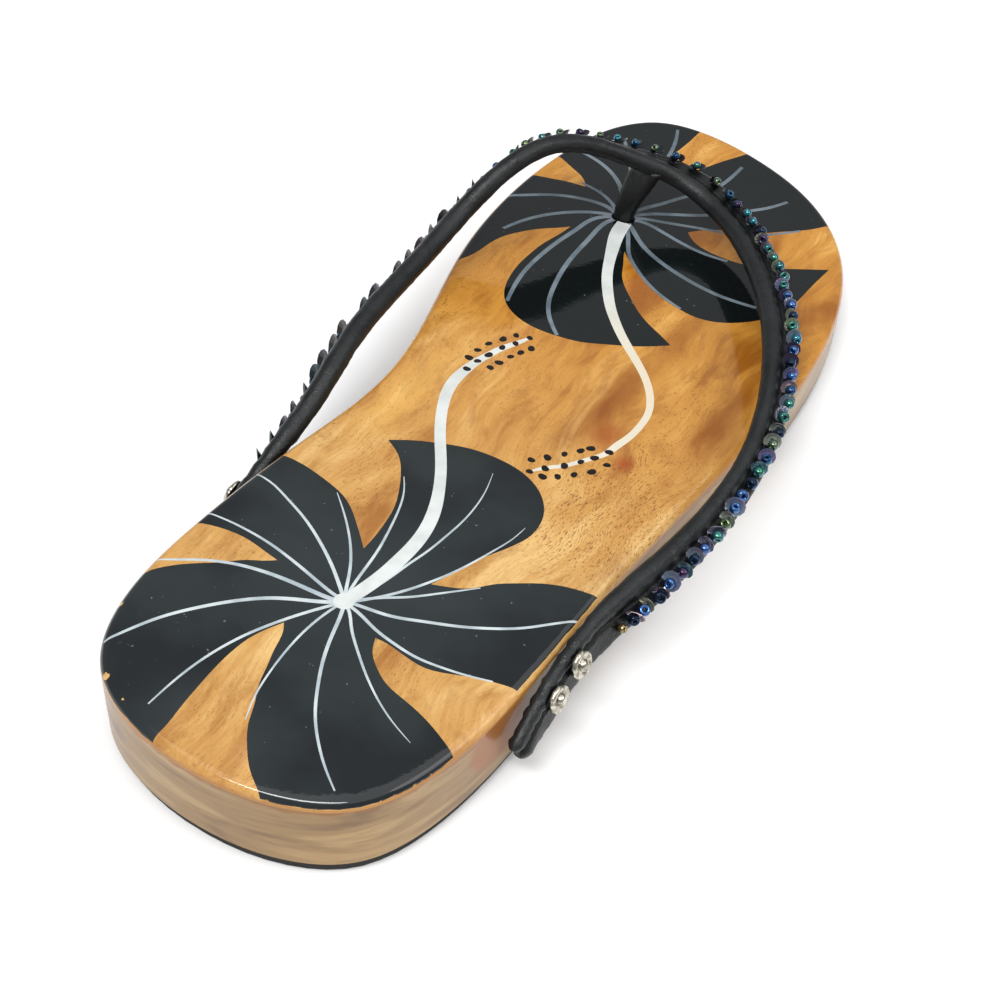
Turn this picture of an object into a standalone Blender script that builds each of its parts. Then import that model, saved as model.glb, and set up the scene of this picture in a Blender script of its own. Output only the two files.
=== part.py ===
"""Right-foot wooden thong sandal: one slab of wood on a thin rubber sheet, and a beaded leather V strap.

Design frame, in millimetres until the mesh is made: x across the foot (medial side at -x, lateral side
at +x), y from the back of the heel towards the toe, z up from the floor.  Everything hangs from one empty
that moves the finished sandal so that the middle of its box stands over the world origin.
"""
import math

import bpy
import numpy as np
from mathutils import Vector

MM = 0.001                      # metres in a millimetre
GAP = 0.3                       # clearance between neighbouring pieces

# --- driving dimensions, millimetres -----------------------------------------------------------------
LENGTH = 240.0                  # heel to toe
HEEL_HEIGHT = 21.5              # floor to the top face at the back of the heel
BALL_HEIGHT = 14.0              # floor to the top face at the ball of the foot
BALL_Y = 190.0                  # where BALL_HEIGHT is measured
TOE_LIFT = 1.2                  # rise of the top face over its straight slope at the toe tip
RUBBER = 2.4                    # thickness of the rubber sheet
RUBBER_INSET = 0.9              # the rubber stays inside the wood by this much
ARCH_RISE = 2.6                 # height of the underside of the rubber at the middle of the arch
HEEL_FLAT_END = 78.0            # the heel's flat spot ends here
BALL_FLAT_START = 132.0         # the forefoot's flat spot starts here ...
BALL_FLAT_END = 200.0           # ... and ends here, where the toe spring starts
TOE_SPRING = 3.4                # rise of the underside at the toe tip
EDGE_RADIUS = 2.0               # rounding of the slab's top edge
UNDER_CHAMFER = 0.7             # broken edge along the slab's underside
SIDE_STEPS = 60                 # outline points from heel to toe on each side

MORTISE_SIZE = (6.0, 4.0)       # width and thickness of the mortise
MORTISE_DEPTH = 7.5             # depth of the mortise below the top face
STRAP_STEP = 4.0                # distance between neighbouring strap sections

# --- sole outline: one side after the other, from the back of the heel to the tip of the toe -----------
#              x       y      place
LATERAL_SIDE = (
    (1.0, 0.0),              # back of the heel
    (17.5, 2.4),
    (29.5, 9.5),
    (36.5, 23.5),            # widest turn of the heel
    (40.0, 50.0),
    (41.0, 84.0),
    (43.2, 114.0),
    (45.7, 146.0),           # ball of the foot
    (45.2, 171.0),
    (40.8, 194.5),           # little toe
    (30.5, 216.0),
    (15.5, 229.6),
    (-2.5, 237.1),
    (-17.5, 239.5),          # tip of the toe
)
MEDIAL_SIDE = (
    (1.0, 0.0),              # back of the heel
    (-15.0, 2.4),
    (-28.0, 10.0),
    (-34.9, 24.5),           # widest turn of the heel
    (-36.4, 48.0),
    (-34.0, 78.0),
    (-31.5, 107.0),          # waist
    (-35.3, 130.0),
    (-42.2, 156.0),
    (-45.8, 186.0),          # ball of the foot
    (-44.4, 210.0),
    (-38.6, 228.6),          # big toe
    (-30.4, 236.9),
    (-17.5, 239.5),          # tip of the toe
)

# --- strap: sections from the medial end over the toe post to the lateral end ---------------------------
# x, y: middle of the padded roll; rise: height over the sole's top face; tilt: slope of the flat band
# from the roll outwards, degrees; width: roll axis to the band's outer edge; roll: radius of the roll.
#     x       y     rise    tilt   width  roll
STRAP_SECTIONS = (
    (-38.6, 48.5, -13.2, -86.0, 4.6, 1.8),     # medial end, low on the sole's side
    (-38.7, 55.0, -11.6, -84.0, 5.0, 1.8),
    (-38.5, 62.0, -9.2, -79.0, 5.8, 1.9),
    (-37.9, 69.5, -6.0, -70.0, 6.9, 2.1),
    (-37.4, 78.4, -2.3, -62.0, 8.0, 2.4),
    (-37.2, 88.1, 1.2, -58.0, 9.0, 2.6),
    (-37.6, 97.2, 5.1, -56.0, 9.4, 2.7),
    (-39.0, 108.9, 7.9, -56.0, 9.4, 2.7),
    (-39.9, 122.5, 9.3, -56.0, 9.2, 2.7),
    (-40.3, 137.8, 10.8, -56.0, 9.0, 2.7),
    (-39.6, 152.4, 14.6, -55.0, 8.6, 2.7),
    (-36.2, 163.1, 20.6, -51.0, 8.0, 2.6),     # over the big toe
    (-31.0, 174.6, 24.4, -42.0, 7.4, 2.5),
    (-24.5, 185.0, 22.0, -26.0, 6.8, 2.4),
    (-16.0, 193.0, 17.1, -10.0, 6.4, 2.4),     # over the toe post
    (-9.0, 197.6, 13.4, 2.0, 6.2, 2.4),
    (-1.0, 198.8, 10.3, 6.0, 6.2, 2.4),
    (8.0, 195.0, 8.8, 6.0, 6.2, 2.4),
    (19.0, 184.8, 9.5, 4.0, 6.2, 2.4),
    (30.0, 170.0, 11.3, -4.0, 6.2, 2.4),
    (39.3, 153.3, 12.3, -14.0, 6.2, 2.4),      # over the small toes
    (46.0, 137.0, 10.3, -26.0, 6.2, 2.4),
    (49.4, 121.5, 7.9, -34.0, 6.2, 2.4),
    (49.7, 107.0, 6.0, -38.0, 6.2, 2.4),
    (48.1, 93.0, 4.7, -44.0, 6.3, 2.4),
    (45.8, 80.5, 4.0, -54.0, 6.6, 2.3),
    (43.9, 70.5, 2.9, -66.0, 6.8, 2.0),
    (42.9, 62.0, 1.2, -74.0, 6.8, 1.8),
    (42.6, 53.5, -1.5, -76.0, 6.6, 1.8),
    (42.7, 46.0, -4.9, -79.0, 6.2, 1.8),
    (42.8, 39.8, -8.3, -85.0, 5.8, 1.8),       # lateral end
)
BAND_TOP = 0.9                  # height of the band's face over the roll's axis
BAND_UNDER = 1.5                # depth of the band's underside below the roll's axis
FLAT_LENGTH = 22.0              # the roll is pressed flat along this much of each end
FLAT_FADE = 5.0                 # and comes up again along this much more
PINCH_LENGTH = 8.0              # the last stretch of each end is pinched into two lobes
LOBE_RADIUS = 1.9

# --- toe post: a flat web from the mortise up into the strap ------------------------------------------
# x, y: middle of the web; rise: over the sole's top face; turn: direction of its width from +x, degrees
#     x       y     rise   turn   width  thick
POST_SECTIONS = (
    (-17.0, 192.3, -6.6, 10.0, 4.6, 2.8),
    (-17.0, 192.3, -2.0, 10.0, 4.8, 3.0),
    (-16.9, 192.4, 1.0, 8.0, 5.2, 3.2),
    (-16.3, 193.4, 5.0, -4.0, 6.2, 3.3),
    (-15.0, 195.2, 10.0, -20.0, 8.2, 3.4),
    (-13.7, 196.8, 14.4, -28.0, 9.4, 3.4),
)

# --- trimmings ---------------------------------------------------------------------------------------
STUD_RADIUS = 2.9
STUD_HEIGHT = 1.9
STUD_LIFT = 0.4                 # clears the band's slight twist under the stud
# name, distance along the strap from its medial or lateral end, distance from the roll's axis
STUD_PLACES = (
    ("stud_medial_front", 17.8, None, 2.0),
    ("stud_medial_rear", 10.9, None, 1.9),
    ("stud_lateral_front", None, 21.2, 1.8),
    ("stud_lateral_rear", None, 12.9, 1.6),
)
TRIM_START = 29.0               # the beads start this far from each end of the strap
TRIM_PITCH = 3.4                # one sequin to the next
TRIM_INNER = 3.0                # inner edge of the row, from the roll's axis
TRIM_OUTER = 6.7                # outer edge of the row, from the roll's axis
TRIM_SCALLOP = 0.8              # depth of the scallops along the outer edge
TRIM_LIFT = 0.45                # underside of the row over the band's face
TRIM_HEIGHT = 1.9               # bead tops over the row's underside


# --- curves and profiles -----------------------------------------------------------------------------
def spline_through(knots, closed):
    """A cubic spline with continuous curvature through the knots, as a function of the knot number."""
    knots = np.asarray(knots, float)
    count = len(knots)
    chord = np.linalg.norm(np.diff(knots[:, :3], axis=0), axis=1)
    if closed:
        chord = np.append(chord, np.linalg.norm(knots[0, :3] - knots[-1, :3]))
    span = np.maximum(chord, 1e-6)
    slopes = slopes_at(knots, span, closed)

    def read(t):
        i = min(int(t), len(span) - 1)
        f = t - i
        a, b = knots[i], knots[(i + 1) % count]
        da, db = slopes[i] * span[i], slopes[(i + 1) % count] * span[i]
        return (
            (2 * f**3 - 3 * f**2 + 1) * a
            + (f**3 - 2 * f**2 + f) * da
            + (-2 * f**3 + 3 * f**2) * b
            + (f**3 - f**2) * db
        )

    return read


def slopes_at(knots, span, closed):
    """Slopes at the knots that make the second derivative continuous."""
    count = len(knots)
    matrix = np.zeros((count, count))
    right = np.zeros_like(knots)
    for i in range(count):
        if not closed and i in (0, count - 1):
            j = i if i == 0 else i - 1
            matrix[i, j] = 1.0 if i else 2.0
            matrix[i, j + 1] = 2.0 if i else 1.0
            right[i] = 3 * (knots[j + 1] - knots[j]) / span[j]
            continue
        before, after = span[i - 1], span[i % len(span)]
        ahead, back = (i + 1) % count, i - 1
        matrix[i, back] += 1 / before
        matrix[i, i] += 2 / before + 2 / after
        matrix[i, ahead] += 1 / after
        right[i] = 3 * (knots[i] - knots[back]) / before**2 + 3 * (knots[ahead] - knots[i]) / after**2
    return np.linalg.solve(matrix, right)


def sole_outline():
    """Outline points (x, y): lateral side heel to toe, then medial side toe to heel, closed.

    Both sides are read at the same distances from the heel, so that a piece's faces run straight across.
    """
    knots = list(LATERAL_SIDE) + list(reversed(MEDIAL_SIDE[1:-1]))
    curve = spline_through(knots, closed=True)
    toe = len(LATERAL_SIDE) - 1
    fine = 40
    lateral = np.array([curve(i / fine) for i in range(toe * fine + 1)])
    medial = np.array([curve(toe + i / fine) for i in range((len(knots) - toe) * fine)] + [knots[0]])
    medial = medial[::-1]
    tip = LATERAL_SIDE[-1][1]
    stations = [0.5 * tip * (1 - math.cos(math.pi * i / SIDE_STEPS)) for i in range(SIDE_STEPS + 1)]
    right = [np.array((np.interp(y, lateral[:, 1], lateral[:, 0]), y)) for y in stations]
    left = [np.array((np.interp(y, medial[:, 1], medial[:, 0]), y)) for y in stations]
    return right[:-1] + left[:0:-1]


def inset(loop, distance):
    """The closed loop moved inwards by a distance (it runs anticlockwise seen from above)."""
    moved = []
    for i, here in enumerate(loop):
        along = loop[(i + 1) % len(loop)] - loop[i - 1]
        along = along / np.linalg.norm(along)
        moved.append(here + distance * np.array((-along[1], along[0])))
    return moved


def ease(t):
    """Smooth step from 0 to 1."""
    t = min(max(t, 0.0), 1.0)
    return t * t * (3 - 2 * t)


def top_z(y):
    """Height of the sole's top face: a straight slope, with a little lift at the toe."""
    slope = (HEEL_HEIGHT - BALL_HEIGHT) / BALL_Y
    lift = max(0.0, (y - BALL_FLAT_END) / (LENGTH - BALL_FLAT_END))
    return HEEL_HEIGHT - slope * y + TOE_LIFT * lift**2


def tread_z(y):
    """Height of the rubber's underside: flat heel, arch, flat forefoot, toe spring."""
    if y < HEEL_FLAT_END or BALL_FLAT_START < y < BALL_FLAT_END:
        return 0.0
    if y >= BALL_FLAT_END:
        return TOE_SPRING * ((y - BALL_FLAT_END) / (LENGTH - BALL_FLAT_END)) ** 2
    middle = 0.5 * (HEEL_FLAT_END + BALL_FLAT_START)
    half = 0.5 * (BALL_FLAT_START - HEEL_FLAT_END)
    return ARCH_RISE * ease(1 - abs(y - middle) / half)


def wood_under_z(y):
    """Height of the slab's underside, a clearance above the rubber."""
    return tread_z(y) + RUBBER + GAP


# --- the strap's own frame ---------------------------------------------------------------------------
class Strap:
    """The strap's path with its frame: along, out (roll to band edge) and face (up from the band)."""

    def __init__(self):
        rows = [(x, y, top_z(y) + rise, *rest) for x, y, rise, *rest in STRAP_SECTIONS]
        curve = spline_through(rows, closed=False)
        fine = 20
        path = np.array([curve(i / fine) for i in range((len(rows) - 1) * fine + 1)])
        steps = np.linalg.norm(np.diff(path[:, :3], axis=0), axis=1)
        self.run = np.append(0.0, np.cumsum(steps))
        self.path = path
        self.length = float(self.run[-1])

    def row(self, s):
        return [float(np.interp(s, self.run, self.path[:, k])) for k in range(6)]

    def frame(self, s):
        """Middle of the roll, the three directions, band width and roll radius at a distance s."""
        x, y, z, tilt, width, roll = self.row(s)
        step = 1.5
        ahead = Vector(self.row(min(s + step, self.length))[:3])
        behind = Vector(self.row(max(s - step, 0.0))[:3])
        along = (ahead - behind).normalized()
        level = Vector((-along.y, along.x, 0.0)).normalized()
        up = along.cross(level)
        angle = math.radians(tilt)
        out = math.cos(angle) * level + math.sin(angle) * up
        return Vector((x, y, z)), along, out, along.cross(out), width, roll

    def point(self, s, u, v):
        middle, _, out, face, _, _ = self.frame(s)
        return middle + u * out + v * face


def blend(a, b, t):
    return a + (b - a) * t


def strap_section(width, roll, flat, pinch):
    """Closed section (u, v): the padded roll round the axis, a crease, and the flat band outside it.

    flat presses roll and band to one level; pinch parts them again into two round lobes.
    """
    start = 1.25 * roll + 0.2
    middle, half = 0.5 * (width + roll), 0.5 * (width - roll)

    def band(u, level):
        lobe = LOBE_RADIUS * math.sqrt(max(0.0, 1 - ((u - middle) / half) ** 2))
        return blend(blend(level, 0.92 * roll, flat), lobe, pinch)

    arc = [-0.86, -0.5, 0.0, 0.5, 0.82]
    crease = blend(blend(0.7, 0.86 * roll, flat), 0.4, pinch)
    under_crease = blend(blend(1.7, 0.9 * roll, flat), 0.4, pinch)
    upper = [(roll * k, roll * math.sqrt(1 - k * k)) for k in arc]
    upper += [(1.04 * roll, crease)] + [(u, band(u, BAND_TOP)) for u in (start, middle + 0.3, width - 0.8)]
    lower = [(u, -band(u, BAND_UNDER)) for u in (width - 0.8, middle, start)]
    lower += [(1.04 * roll, -under_crease)]
    lower += [(roll * k, -roll * math.sqrt(1 - k * k)) for k in reversed(arc)]
    return [(-roll, 0.0)] + upper + [(width, -0.25)] + lower


# --- mesh building -----------------------------------------------------------------------------------
def point_outwards(mesh):
    """Turns a closed mesh's faces outwards, by the sign of its volume."""
    volume = 0.0
    for face in mesh.polygons:
        corners = [mesh.vertices[i].co for i in face.vertices]
        for k in range(1, len(corners) - 1):
            volume += corners[0].dot(corners[k].cross(corners[k + 1]))
    if volume < 0:
        mesh.flip_normals()


def make_object(name, vertices, faces, material, root, smooth_angle=35.0):
    """A mesh object with its vertices given in millimetres."""
    mesh = bpy.data.meshes.new(name)
    mesh.from_pydata([tuple(MM * c for c in v) for v in vertices], [], faces)
    mesh.validate()
    point_outwards(mesh)
    mesh.update()
    mesh.shade_smooth()
    mesh.set_sharp_from_angle(angle=math.radians(smooth_angle))
    piece = bpy.data.objects.new(name, mesh)
    bpy.context.scene.collection.objects.link(piece)
    piece.parent = root
    piece.data.materials.append(material)
    return piece


def make_material(name, colour, roughness, metallic=0.0):
    material = bpy.data.materials.new(name)
    material.use_nodes = True
    shader = material.node_tree.nodes["Principled BSDF"]
    shader.inputs["Base Color"].default_value = (*colour, 1.0)
    shader.inputs["Roughness"].default_value = roughness
    shader.inputs["Metallic"].default_value = metallic
    return material


def ring_faces(rings):
    """Quads between neighbouring rings of equal vertex count, numbered ring after ring."""
    count = len(rings[0])
    faces = []
    for r in range(len(rings) - 1):
        for i in range(count):
            j = (i + 1) % count
            faces.append((r * count + i, r * count + j, (r + 1) * count + j, (r + 1) * count + i))
    return faces


def plate(name, levels, material, root):
    """A closed slab from outline rings given bottom to top, its faces spanned from side to side."""
    rings = [[(x, y, z) for x, y, z in level] for level in levels]
    count = len(rings[0])
    vertices = [v for ring in rings for v in ring]
    faces = ring_faces(rings)
    top = (len(rings) - 1) * count
    for start, flip in ((0, True), (top, False)):
        for i in range(count // 2):
            a, b = i, i + 1
            c, d = (count - i - 1) % count, (count - i) % count
            corners = [a, b, c, d] if i else [a, b, c]
            if b == c:
                corners = [a, b, d]
            face = [start + k for k in corners]
            faces.append(tuple(reversed(face)) if flip else tuple(face))
    return make_object(name, vertices, faces, material, root)


def sweep(name, rings, material, root):
    """A closed body through rings of points, capped with fans at both ends."""
    vertices = [tuple(v) for ring in rings for v in ring]
    count = len(rings[0])
    faces = ring_faces(rings)
    for ring_start, ring, flip in ((0, rings[0], True), ((len(rings) - 1) * count, rings[-1], False)):
        middle = sum((Vector(v) for v in ring), Vector()) / count
        vertices.append(tuple(middle))
        hub = len(vertices) - 1
        for i in range(count):
            face = (ring_start + i, ring_start + (i + 1) % count, hub)
            faces.append(tuple(reversed(face)) if flip else face)
    return make_object(name, vertices, faces, material, root)


def apply_boolean(target, tool, operation):
    """Joins or cuts with the exact solver, keeps the result in the target and removes the tool."""
    modifier = target.modifiers.new(operation.lower(), "BOOLEAN")
    modifier.operation = operation
    modifier.solver = "EXACT"
    modifier.object = tool
    bpy.context.view_layer.update()
    graph = bpy.context.evaluated_depsgraph_get()
    result = bpy.data.meshes.new_from_object(target.evaluated_get(graph))
    target.modifiers.remove(modifier)
    old = target.data
    target.data = result
    bpy.data.meshes.remove(old)
    bpy.data.objects.remove(tool, do_unlink=True)


# --- the pieces --------------------------------------------------------------------------------------
def build_sole(material, root):
    """Wooden slab: broken lower edge, upright side, rounded top edge, and the post's mortise."""
    outline = sole_outline()
    under = inset(outline, UNDER_CHAMFER)
    levels = [[(x, y, wood_under_z(y)) for x, y in under]]
    levels.append([(x, y, wood_under_z(y) + UNDER_CHAMFER) for x, y in outline])
    for k in range(5):
        turn = math.radians(90 * k / 4)
        ring = inset(outline, EDGE_RADIUS * (1 - math.cos(turn)))
        drop = EDGE_RADIUS * (1 - math.sin(turn))
        levels.append([(x, y, top_z(y) - drop) for x, y in ring])
    sole = plate("sole", levels, material, root)
    row = POST_SECTIONS[0]
    rings = []
    for rise in (-MORTISE_DEPTH, 3.0):
        rings.append(web_ring(row[:2] + (rise, row[3], *MORTISE_SIZE)))
    cutter = sweep("mortise", rings, material, root)
    apply_boolean(sole, cutter, "DIFFERENCE")
    return sole


def build_outsole(material, root):
    """Rubber sheet that follows the slab's underside."""
    rim = inset(sole_outline(), RUBBER_INSET)
    lower = inset(rim, 0.3)
    levels = [[(x, y, tread_z(y)) for x, y in lower]]
    levels.append([(x, y, tread_z(y) + 0.5) for x, y in rim])
    levels.append([(x, y, tread_z(y) + RUBBER) for x, y in rim])
    return plate("outsole", levels, material, root)


def web_ring(row):
    """Rounded oblong section of the toe post, level with the floor."""
    x, y, rise, turn, width, thick = row
    angle = math.radians(turn)
    wide = Vector((math.cos(angle), math.sin(angle), 0.0))
    deep = Vector((-wide.y, wide.x, 0.0))
    middle = Vector((x, y, top_z(y) + rise))
    corner = 0.5 * thick
    ring = []
    for side in (1, -1):
        for k in range(5):
            bend = math.radians(-90 + 45 * k)
            along = 0.5 * width - corner + corner * math.cos(bend)
            ring.append(middle + side * (along * wide + corner * math.sin(bend) * deep))
    return ring


def build_strap(strap, material, root):
    """The upper: both branches in one sweep, united with the toe post."""
    count = round(strap.length / STRAP_STEP)
    stations = [strap.length * i / count for i in range(count + 1)]
    extra = (0.6, 2.0)
    stations = sorted(set(stations) | set(extra) | {strap.length - e for e in extra})
    rings = []
    for s in stations:
        from_end = min(s, strap.length - s)
        flat = 1 - ease((from_end - FLAT_LENGTH) / FLAT_FADE)
        pinch = 1 - ease(from_end / PINCH_LENGTH)
        close = math.sqrt(1 - (1 - min(1.0, (from_end + 0.3) / 2.2)) ** 2)
        middle, _, out, face, width, roll = strap.frame(s)
        ring = []
        for u, v in strap_section(width, roll, flat, pinch):
            ring.append(middle + (u * (0.35 + 0.65 * close) + 1.6 * (1 - close)) * out + v * close * face)
        rings.append(ring)
    upper = sweep("strap", rings, material, root)
    curve = spline_through(POST_SECTIONS, closed=False)
    steps = 12
    last = len(POST_SECTIONS) - 1
    web = [web_ring([float(c) for c in curve(i * last / steps)]) for i in range(steps + 1)]
    post = sweep("post_web", web, material, root)
    apply_boolean(upper, post, "UNION")
    return upper


def build_stud(strap, name, s, u, material, root):
    """Dome nail: a dished rim round a small dome, on the band's face."""
    profile = ((0.0, 0.0), (0.82, 0.0), (1.0, 0.22), (0.97, 0.5), (0.74, 0.62), (0.52, 0.5), (0.4, 0.78))
    around = 16
    middle, along, out, face, _, roll = strap.frame(s)
    seat = middle + u * out + (roll + STUD_LIFT) * face
    rings = []
    for reach, height in profile[1:]:
        ring = []
        for i in range(around):
            angle = 2 * math.pi * i / around
            spoke = math.cos(angle) * along + math.sin(angle) * out
            ring.append(seat + STUD_RADIUS * reach * spoke + STUD_HEIGHT * height * face)
        rings.append(ring)
    vertices = [tuple(v) for ring in rings for v in ring]
    faces = [tuple(reversed(f)) for f in ring_faces(rings)]
    vertices += [tuple(seat), tuple(seat + STUD_HEIGHT * face)]
    base, crown, last = len(vertices) - 2, len(vertices) - 1, (len(rings) - 1) * around
    for i in range(around):
        j = (i + 1) % around
        faces.append((base, i, j))
        faces.append((crown, last + j, last + i))
    return make_object(name, vertices, faces, material, root)


def build_trim(strap, material, root):
    """The row of overlapping sequins and beads: a ribbon with one scallop and one hump for each."""
    run = strap.length - 2 * TRIM_START
    scallops = round(run / TRIM_PITCH)
    per = 2
    rings = []
    for i in range(scallops * per + 1):
        s = TRIM_START + run * i / (scallops * per)
        high = 1.0 if i % per else 0.0
        edge = TRIM_OUTER + TRIM_SCALLOP * (high - 0.5)
        low = BAND_TOP + TRIM_LIFT
        top = low + TRIM_HEIGHT * (0.62 + 0.38 * high)
        bead = 0.5 * (TRIM_INNER + edge)
        section = ((TRIM_INNER, low), (TRIM_INNER + 0.2, low + 0.9), (bead, top), (edge - 0.6, low + 1.2))
        section += ((edge, low + 0.6), (edge - 0.3, low))
        rings.append([strap.point(s, u, v) for u, v in section])
    return sweep("bead_trim", rings, material, root)


def centre_over_origin(root, pieces):
    """Moves the empty so that the middle of the sandal's box stands over the world origin."""
    bpy.context.view_layer.update()
    corners = [piece.matrix_world @ v.co for piece in pieces for v in piece.data.vertices]
    low = [min(c[k] for c in corners) for k in range(3)]
    high = [max(c[k] for c in corners) for k in range(3)]
    root.location = (-0.5 * (low[0] + high[0]), -0.5 * (low[1] + high[1]), -low[2])


def main():
    for old in list(bpy.data.objects):
        bpy.data.objects.remove(old, do_unlink=True)
    root = bpy.data.objects.new("sandal_right", None)
    bpy.context.scene.collection.objects.link(root)

    wood = make_material("varnished_wood", (0.55, 0.30, 0.10), 0.22)
    rubber = make_material("black_rubber", (0.02, 0.02, 0.02), 0.85)
    leather = make_material("black_leather", (0.03, 0.03, 0.033), 0.42)
    nickel = make_material("nickel", (0.75, 0.73, 0.68), 0.2, 1.0)
    sequins = make_material("iridescent_sequins", (0.05, 0.10, 0.18), 0.2, 0.8)

    strap = Strap()
    pieces = [
        build_sole(wood, root),
        build_outsole(rubber, root),
        build_strap(strap, leather, root),
        build_trim(strap, sequins, root),
    ]
    for name, from_medial, from_lateral, u in STUD_PLACES:
        s = from_medial or strap.length - from_lateral
        pieces.append(build_stud(strap, name, s, u, nickel, root))
    centre_over_origin(root, pieces)


main()
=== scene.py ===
"""Right-foot wooden thong sandal: the looks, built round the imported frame.

Lengths are millimetres in the sandal's own frame until a mesh is made: x across the foot (lateral
side at +x), y from the back of the heel towards the toe, z up from the floor. The finishes'
colours are sRGB, 0 to 255, until a shader or a bead takes them.
"""
import math
from collections import namedtuple

import bpy
import numpy as np
from mathutils import Matrix, Vector, geometry, noise


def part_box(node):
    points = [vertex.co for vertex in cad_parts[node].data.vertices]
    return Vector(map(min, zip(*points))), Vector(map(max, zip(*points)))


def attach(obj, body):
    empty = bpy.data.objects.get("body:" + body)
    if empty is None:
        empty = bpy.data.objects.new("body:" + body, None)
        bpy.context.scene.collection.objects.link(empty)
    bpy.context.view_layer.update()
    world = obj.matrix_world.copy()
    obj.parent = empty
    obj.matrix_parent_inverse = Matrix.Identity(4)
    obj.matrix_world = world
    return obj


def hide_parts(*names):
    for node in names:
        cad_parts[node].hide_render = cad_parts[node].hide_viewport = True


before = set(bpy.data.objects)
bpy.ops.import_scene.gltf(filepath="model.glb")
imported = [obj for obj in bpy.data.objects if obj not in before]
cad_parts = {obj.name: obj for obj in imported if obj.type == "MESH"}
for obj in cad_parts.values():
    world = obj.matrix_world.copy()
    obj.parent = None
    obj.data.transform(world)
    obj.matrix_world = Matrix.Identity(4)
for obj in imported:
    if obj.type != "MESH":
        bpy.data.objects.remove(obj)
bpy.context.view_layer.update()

MM = 0.001

# --- sizes shared with the solids
LENGTH = 240.0
HEEL_HEIGHT, BALL_HEIGHT, BALL_Y = 21.5, 14.0, 190.0
TOE_LIFT = 1.2  # rise of the top face towards the toe's tip
RUBBER, GAP = 2.4, 0.3  # thickness of the rubber sheet, and the gap over it
ARCH_RISE = 2.6
HEEL_FLAT_END, BALL_FLAT_START, BALL_FLAT_END = 78.0, 132.0, 200.0
TOE_SPRING = 3.4
EDGE_RADIUS = 2.0
UNDER_CHAMFER = 0.7

# x, y of the sole's outline, from the back of the heel to the toe
LATERAL_SIDE = (
    (1, 0), (17.5, 2.4), (29.5, 9.5), (36.5, 23.5), (40, 50), (41, 84), (43.2, 114), (45.7, 146),
    (45.2, 171), (40.8, 194.5), (30.5, 216), (15.5, 229.6), (-2.5, 237.1), (-17.5, 239.5),
)
MEDIAL_SIDE = (
    (1, 0), (-15, 2.4), (-28, 10), (-34.9, 24.5), (-36.4, 48), (-34, 78), (-31.5, 107),
    (-35.3, 130), (-42.2, 156), (-45.8, 186), (-44.4, 210), (-38.6, 228.6), (-30.4, 236.9),
    (-17.5, 239.5),
)

# x, y: middle of the padded roll; rise over the sole; tilt of the band, degrees; distance from the
# roll's axis to the band's edge; roll radius
STRAP_SECTIONS = (
    (-38.6, 48.5, -13.2, -86.0, 4.6, 1.8), (-38.7, 55.0, -11.6, -84.0, 5.0, 1.8),
    (-38.5, 62.0, -9.2, -79.0, 5.8, 1.9), (-37.9, 69.5, -6.0, -70.0, 6.9, 2.1),
    (-37.4, 78.4, -2.3, -62.0, 8.0, 2.4), (-37.2, 88.1, 1.2, -58.0, 9.0, 2.6),
    (-37.6, 97.2, 5.1, -56.0, 9.4, 2.7), (-39.0, 108.9, 7.9, -56.0, 9.4, 2.7),
    (-39.9, 122.5, 9.3, -56.0, 9.2, 2.7), (-40.3, 137.8, 10.8, -56.0, 9.0, 2.7),
    (-39.6, 152.4, 14.6, -55.0, 8.6, 2.7), (-36.2, 163.1, 20.6, -51.0, 8.0, 2.6),
    (-31.0, 174.6, 24.4, -42.0, 7.4, 2.5), (-24.5, 185.0, 22.0, -26.0, 6.8, 2.4),
    (-16.0, 193.0, 17.1, -10.0, 6.4, 2.4),
    (-9.0, 197.6, 13.4, 2.0, 6.2, 2.4),
    (-1.0, 198.8, 10.3, 6.0, 6.2, 2.4), (8.0, 195.0, 8.8, 6.0, 6.2, 2.4),
    (19.0, 184.8, 9.5, 4.0, 6.2, 2.4), (30.0, 170.0, 11.3, -4.0, 6.2, 2.4),
    (39.3, 153.3, 12.3, -14.0, 6.2, 2.4), (46.0, 137.0, 10.3, -26.0, 6.2, 2.4),
    (49.4, 121.5, 7.9, -34.0, 6.2, 2.4), (49.7, 107.0, 6.0, -38.0, 6.2, 2.4),
    (48.1, 93.0, 4.7, -44.0, 6.3, 2.4), (45.8, 80.5, 4.0, -54.0, 6.6, 2.3),
    (43.9, 70.5, 2.9, -66.0, 6.8, 2.0), (42.9, 62.0, 1.2, -74.0, 6.8, 1.8),
    (42.6, 53.5, -1.5, -76.0, 6.6, 1.8), (42.7, 46.0, -4.9, -79.0, 6.2, 1.8),
    (42.8, 39.8, -8.3, -85.0, 5.8, 1.8),
)
BAND_TOP, BAND_UNDER = 0.9, 1.5  # the band's faces over and under the roll's axis
# x, y: middle of the web; rise over the sole; direction of its width from +x, degrees; width;
# thickness
POST_SECTIONS = (
    (-17.0, 192.3, -6.6, 10.0, 4.6, 2.8), (-17.0, 192.3, -2.0, 10.0, 4.8, 3.0),
    (-16.9, 192.4, 1.0, 8.0, 5.2, 3.2), (-16.3, 193.4, 5.0, -4.0, 6.2, 3.3),
    (-15.0, 195.2, 10.0, -20.0, 8.2, 3.4), (-13.7, 196.8, 14.4, -28.0, 9.4, 3.4),
)
MORTISE_SIZE, MORTISE_DEPTH = (6.0, 4.0), 7.5
STUD_RADIUS, STUD_HEIGHT, STUD_LIFT = 2.9, 1.9, 0.4
STUD_SEAT, STUD_CRIMPS = 0.88, 12  # height of the seat in roll radii; crimps round the rim

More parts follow.
